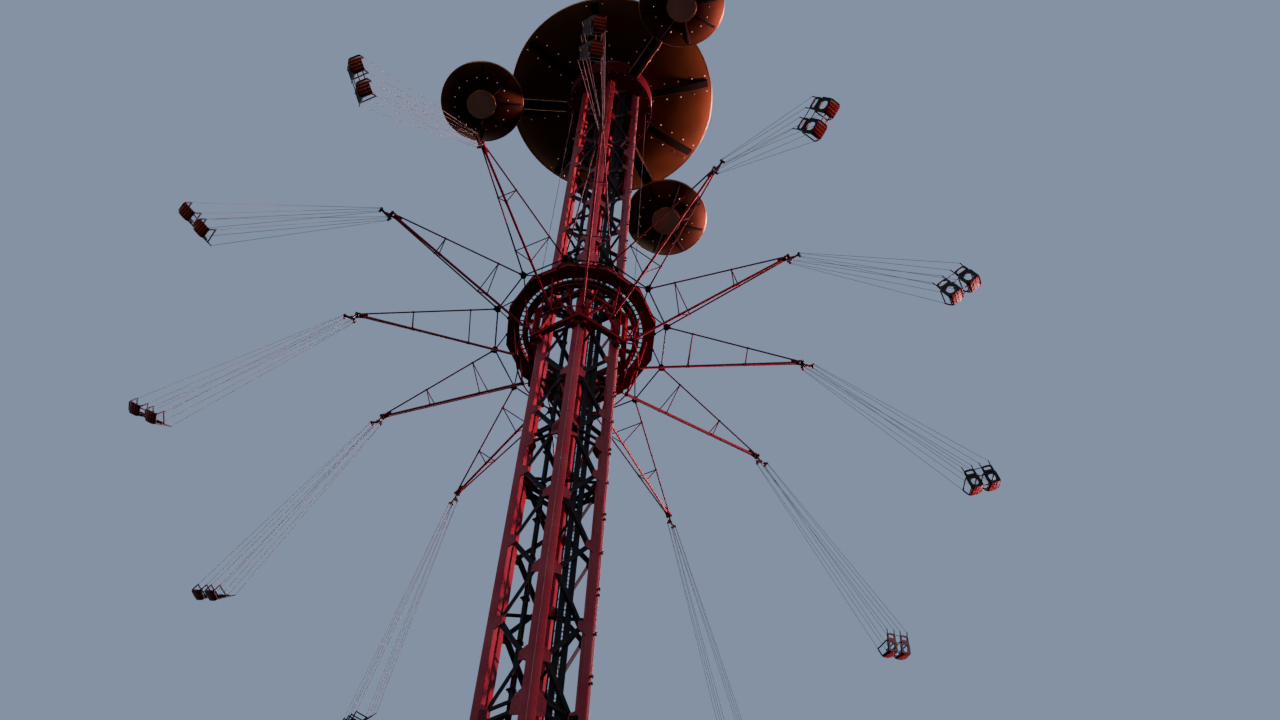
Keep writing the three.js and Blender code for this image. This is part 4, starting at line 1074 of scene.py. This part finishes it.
for end in (-1, 1):
    x, seat_x = end * (YOKE_HALF - 6), end * SEAT_PITCH / 2
    crosshead = drop + (x, 0, 0)
    yoke += [straight_bars(crosshead + (0, -13, -7), crosshead + (0, 13, -7), soft_rectangle(11, 7, 2)),
             straight_bars(crosshead + (0, 0, -4), crosshead + (0, 0, -14), round_outline(4.5, 10))]
    for side in (-1, 1):
        for y, foot in ((-10, (seat_x + side * HORN, horn_y, horn_z)),
                        (10, (seat_x + side * ARM_LOOP, SEAT_REAR[0] + 41, SEAT_REAR[1] + 52 - SEAT_DROP))):
            eyelet = crosshead + (side * 3, y, -8)
            chains.append(link_chain(eyelet - (0, 0, 2), foot))
            yoke.append(straight_bars(eyelet, eyelet - (0, 0, 7), round_outline(2.6, 8)))


# --------------------------------------------------------- seats, in pairs
# A pair of moulded chairs side by side. Each has a dark back with a pad
# between two openings and a horn on each side, a red ribbed bucket, and an
# arm loop on each side. Short rods join the two chairs. The bucket ribs and
# the two lower rods are painted pale salmon as a painted highlight.
SEAT_Y, SEAT_Z = SEAT_REAR[0], SEAT_REAR[1] - SEAT_DROP
ACROSS = (1.0, 0.0, 0.0)
PAD_MID = 50.0
PAD_LAYERS = [(0.86, 4.0), (1.0, 6.0), (0.97, 8.5), (0.85, 10.0)]
BACK_FACE, FRONT_FACE = -1.5, 5.0
RIB_LINES = (-20.0, -7.0, 7.0, 20.0)

seat_black = painted("seat_black", (0.009, 0.009, 0.011), (0.016, 0.016, 0.017), (0.020, 0.016, 0.015),
                     fade_share=0.4, grime_share=0.3, gloss=0.5, grain=4.0, shine=0.15)
seat_red = painted("seat_red", (0.13, 0.003, 0.003), (0.16, 0.010, 0.008), (0.035, 0.003, 0.003), fade_share=0.3,
                   grime_share=0.3, gloss=0.24, grain=4.0, coat=0.3)
# The ribs under the buckets and the two lower rods between the chairs are painted pale salmon: a painted highlight
# where they catch light.
seat_highlight_salmon = painted("seat_highlight_salmon", (0.30, 0.055, 0.035), (0.38, 0.11, 0.07), (0.10, 0.02, 0.015),
                      fade_share=0.3, grime_share=0.2, gloss=0.28, grain=4.0, coat=0.2)


def tube(path, outline, closed=False):
    """A tube of one section along points in the plane of a chair's side,
    closed on itself or with a flat face on each end. The section's first
    coordinate lies across the chair."""
    path = np.asarray(path, float)
    along = np.roll(path, -1, axis=0) - np.roll(path, 1, axis=0) if closed else np.gradient(path, axis=0)
    along /= np.linalg.norm(along, axis=1, keepdims=True)
    side = np.broadcast_to(np.asarray(ACROSS), along.shape)
    over = np.cross(along, side)
    outline = np.asarray(outline, float)
    rings = path[:, None] + outline[None, :, :1] * side[:, None] + outline[None, :, 1:] * over[:, None]
    return skin(rings[None], around=closed)


def back_point(x, along, forward):
    """A point of the back, across, along and forward of it, drawn hanging."""
    y, z = on_back(along, forward)
    return np.stack(np.broadcast_arrays(x, y, z), axis=-1)


def holed_panel(outer, inner, x):
    """A panel between an outer and an inner outline, each (across, along)
    with as many points: four rings, carried round the hole."""
    corners = ((outer, BACK_FACE), (outer, FRONT_FACE), (inner, FRONT_FACE), (inner, BACK_FACE))
    rings = np.stack([back_point(x + line[:, 0], line[:, 1], face) for line, face in corners], axis=1)
    return skin(rings[None], around=True)


def oval(wide, low, high, power, lean=0.0):
    """Outline of a rounded box, from a circle raised to a power, narrower
    towards its head by the share `lean`."""
    angle = np.arange(36) * 2 * np.pi / 36
    c, s = np.cos(angle), np.sin(angle)
    x = np.sign(c) * abs(c) ** (2 / power) * wide / 2
    y = np.sign(s) * abs(s) ** (2 / power) * (high - low) / 2
    return np.column_stack([x * (1 - lean * y / (high - low) * 2), (low + high) / 2 + y])


def bucket_section(share):
    """The bucket at a share of the way from its rear to its front: how far
    forward it is, the height of its floor, which rises as the share to the
    power 1.3, its depth, which shrinks evenly, and its half width, which
    swells as half a sine."""
    return (SEAT_Y - 2 + 50 * share, SEAT_Z + 8 * share ** 1.3 - 1.0, 15 - 4 * share,
            31.5 + 1.5 * np.sin(np.pi * share))


def bucket(x):
    """The red bucket: half ovals across the seat, from rear to front, whose
    width and depth follow the powers 0.62 and 0.75 of a half circle's cosine
    and sine, and the same ovals drawn smaller for its inside."""
    y, floor_z, deep, wide = (v[:, None] for v in bucket_section(np.linspace(0, 1, 13)))
    angle = np.linspace(np.pi, 2 * np.pi, 19)
    c, s = np.cos(angle), np.sin(angle)
    lower = np.stack([x + wide * np.sign(c) * abs(c) ** 0.62, y + 0 * c,
                      floor_z + 4 + deep * -abs(s) ** 0.75], axis=-1)
    upper = lower[:, ::-1]
    upper = np.stack([x + (upper[..., 0] - x) * 0.90, upper[..., 1],
                      floor_z + 4 + (upper[..., 2] - floor_z - 4) * 0.72], axis=-1)
    return inside_out(skin(np.concatenate([lower, upper], axis=1)[None]))


def bucket_rib(x, across):
    """A rounded rib that runs under the bucket, from its rear to its front,
    on the bucket's own curve."""
    y, floor_z, deep, wide = bucket_section(np.linspace(0.04, 0.97, 12))
    s = (1 - np.clip(abs(across / wide), 0, 1) ** (2 / 1.24)) ** 0.5
    path = np.column_stack([np.full(12, x + across), y, floor_z + 4 - deep * s ** 0.75])
    return tube(path, soft_rectangle(5.0, 3.2, 1.5))


LOWER_PANEL = oval(66, -3, 50, 7.0, lean=0.05), oval(42, 5, 39, 2.6, lean=-0.06)
UPPER_PANEL = oval(60, 47, 83, 5.0, lean=0.04), oval(45, 61, 75.5, 5.0, lean=0.03)
PAD = oval(46, 39.5, 60.5, 4.0)
HORN_LINE = (26.5, 68.0), (26.8, 80.0), (27.6, 90.0), (HORN, 103.5)
LOOP = [(SEAT_Y + 1, SEAT_Z - 2), (SEAT_Y + 44, SEAT_Z + 4), (SEAT_Y + 42, SEAT_Z + 48), (SEAT_Y + 30, SEAT_Z + 46),
        on_back(52, 2.0), on_back(20, 1.0)]

black_parts, red_parts, highlight_parts = [], [], []
for x in (-SEAT_PITCH / 2, SEAT_PITCH / 2):
    black_parts += [holed_panel(*LOWER_PANEL, x), holed_panel(*UPPER_PANEL, x)]
    layers = [back_point(x + PAD[:, 0] * f, PAD_MID + (PAD[:, 1] - PAD_MID) * f, h) for f, h in PAD_LAYERS]
    black_parts.append(inside_out(skin(np.stack(layers)[None])))
    for side in (-1, 1):
        horn = [back_point(x + side * w, a, 2.0) for w, a in HORN_LINE]
        black_parts.append(tube(horn, round_outline(2.3, 8)))
        side_x = x + side * ARM_LOOP
        path = rounded_path([(side_x, *p) for p in LOOP], 9.0)
        black_parts.append(tube(path[::-1], soft_rectangle(5.0, 6.4, 2.0), closed=True))
        black_parts.append(straight_bars((side_x, SEAT_Y + 41, SEAT_Z + 44), (side_x, SEAT_Y + 41, SEAT_Z + 52.5),
                                         round_outline(2.4, 8)))
    red_parts.append(bucket(x))
    highlight_parts += [bucket_rib(x, across) for across in RIB_LINES]
    black_parts.append(straight_bars((x, SEAT_Y + 2, SEAT_Z + 1.2), (x, SEAT_Y + 46, SEAT_Z + 8),
                                     soft_rectangle(56, 3.0, 1.2)))
between = (SEAT_PITCH - 67) / 2
for along in (78, 43):
    y, z = on_back(along, 1.5)
    black_parts.append(straight_bars((-between - 5, y, z), (between + 5, y, z), round_outline(2.0, 8)))
for forward, above in ((12, 6), (34, 10)):
    y, z = SEAT_Y + forward, SEAT_Z + above
    highlight_parts.append(straight_bars((-between - 3, y, z), (between + 3, y, z), round_outline(2.6, 10)))

for k in range(ARMS):
    label = f"{k + 1:02d}"
    body = f"swing_{label}"
    made = piece(f"spreader_{label}", [flung(p, k) for p in yoke], yoke_steel, body)
    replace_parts(made, f"swing_yoke_{label}")
    piece(f"chains_{label}", [flung(p, k) for p in chains], chain_steel, body, crease=80.0)
    shell = piece(f"seat_frames_{label}", [flung(p, k) for p in black_parts], seat_black, body)
    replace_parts(shell, f"seat_pair_{label}")
    piece(f"seat_buckets_{label}", [flung(p, k) for p in red_parts], seat_red, body, crease=50.0)
    piece(f"bucket_ribs_{label}", [flung(p, k) for p in highlight_parts], seat_highlight_salmon, body)
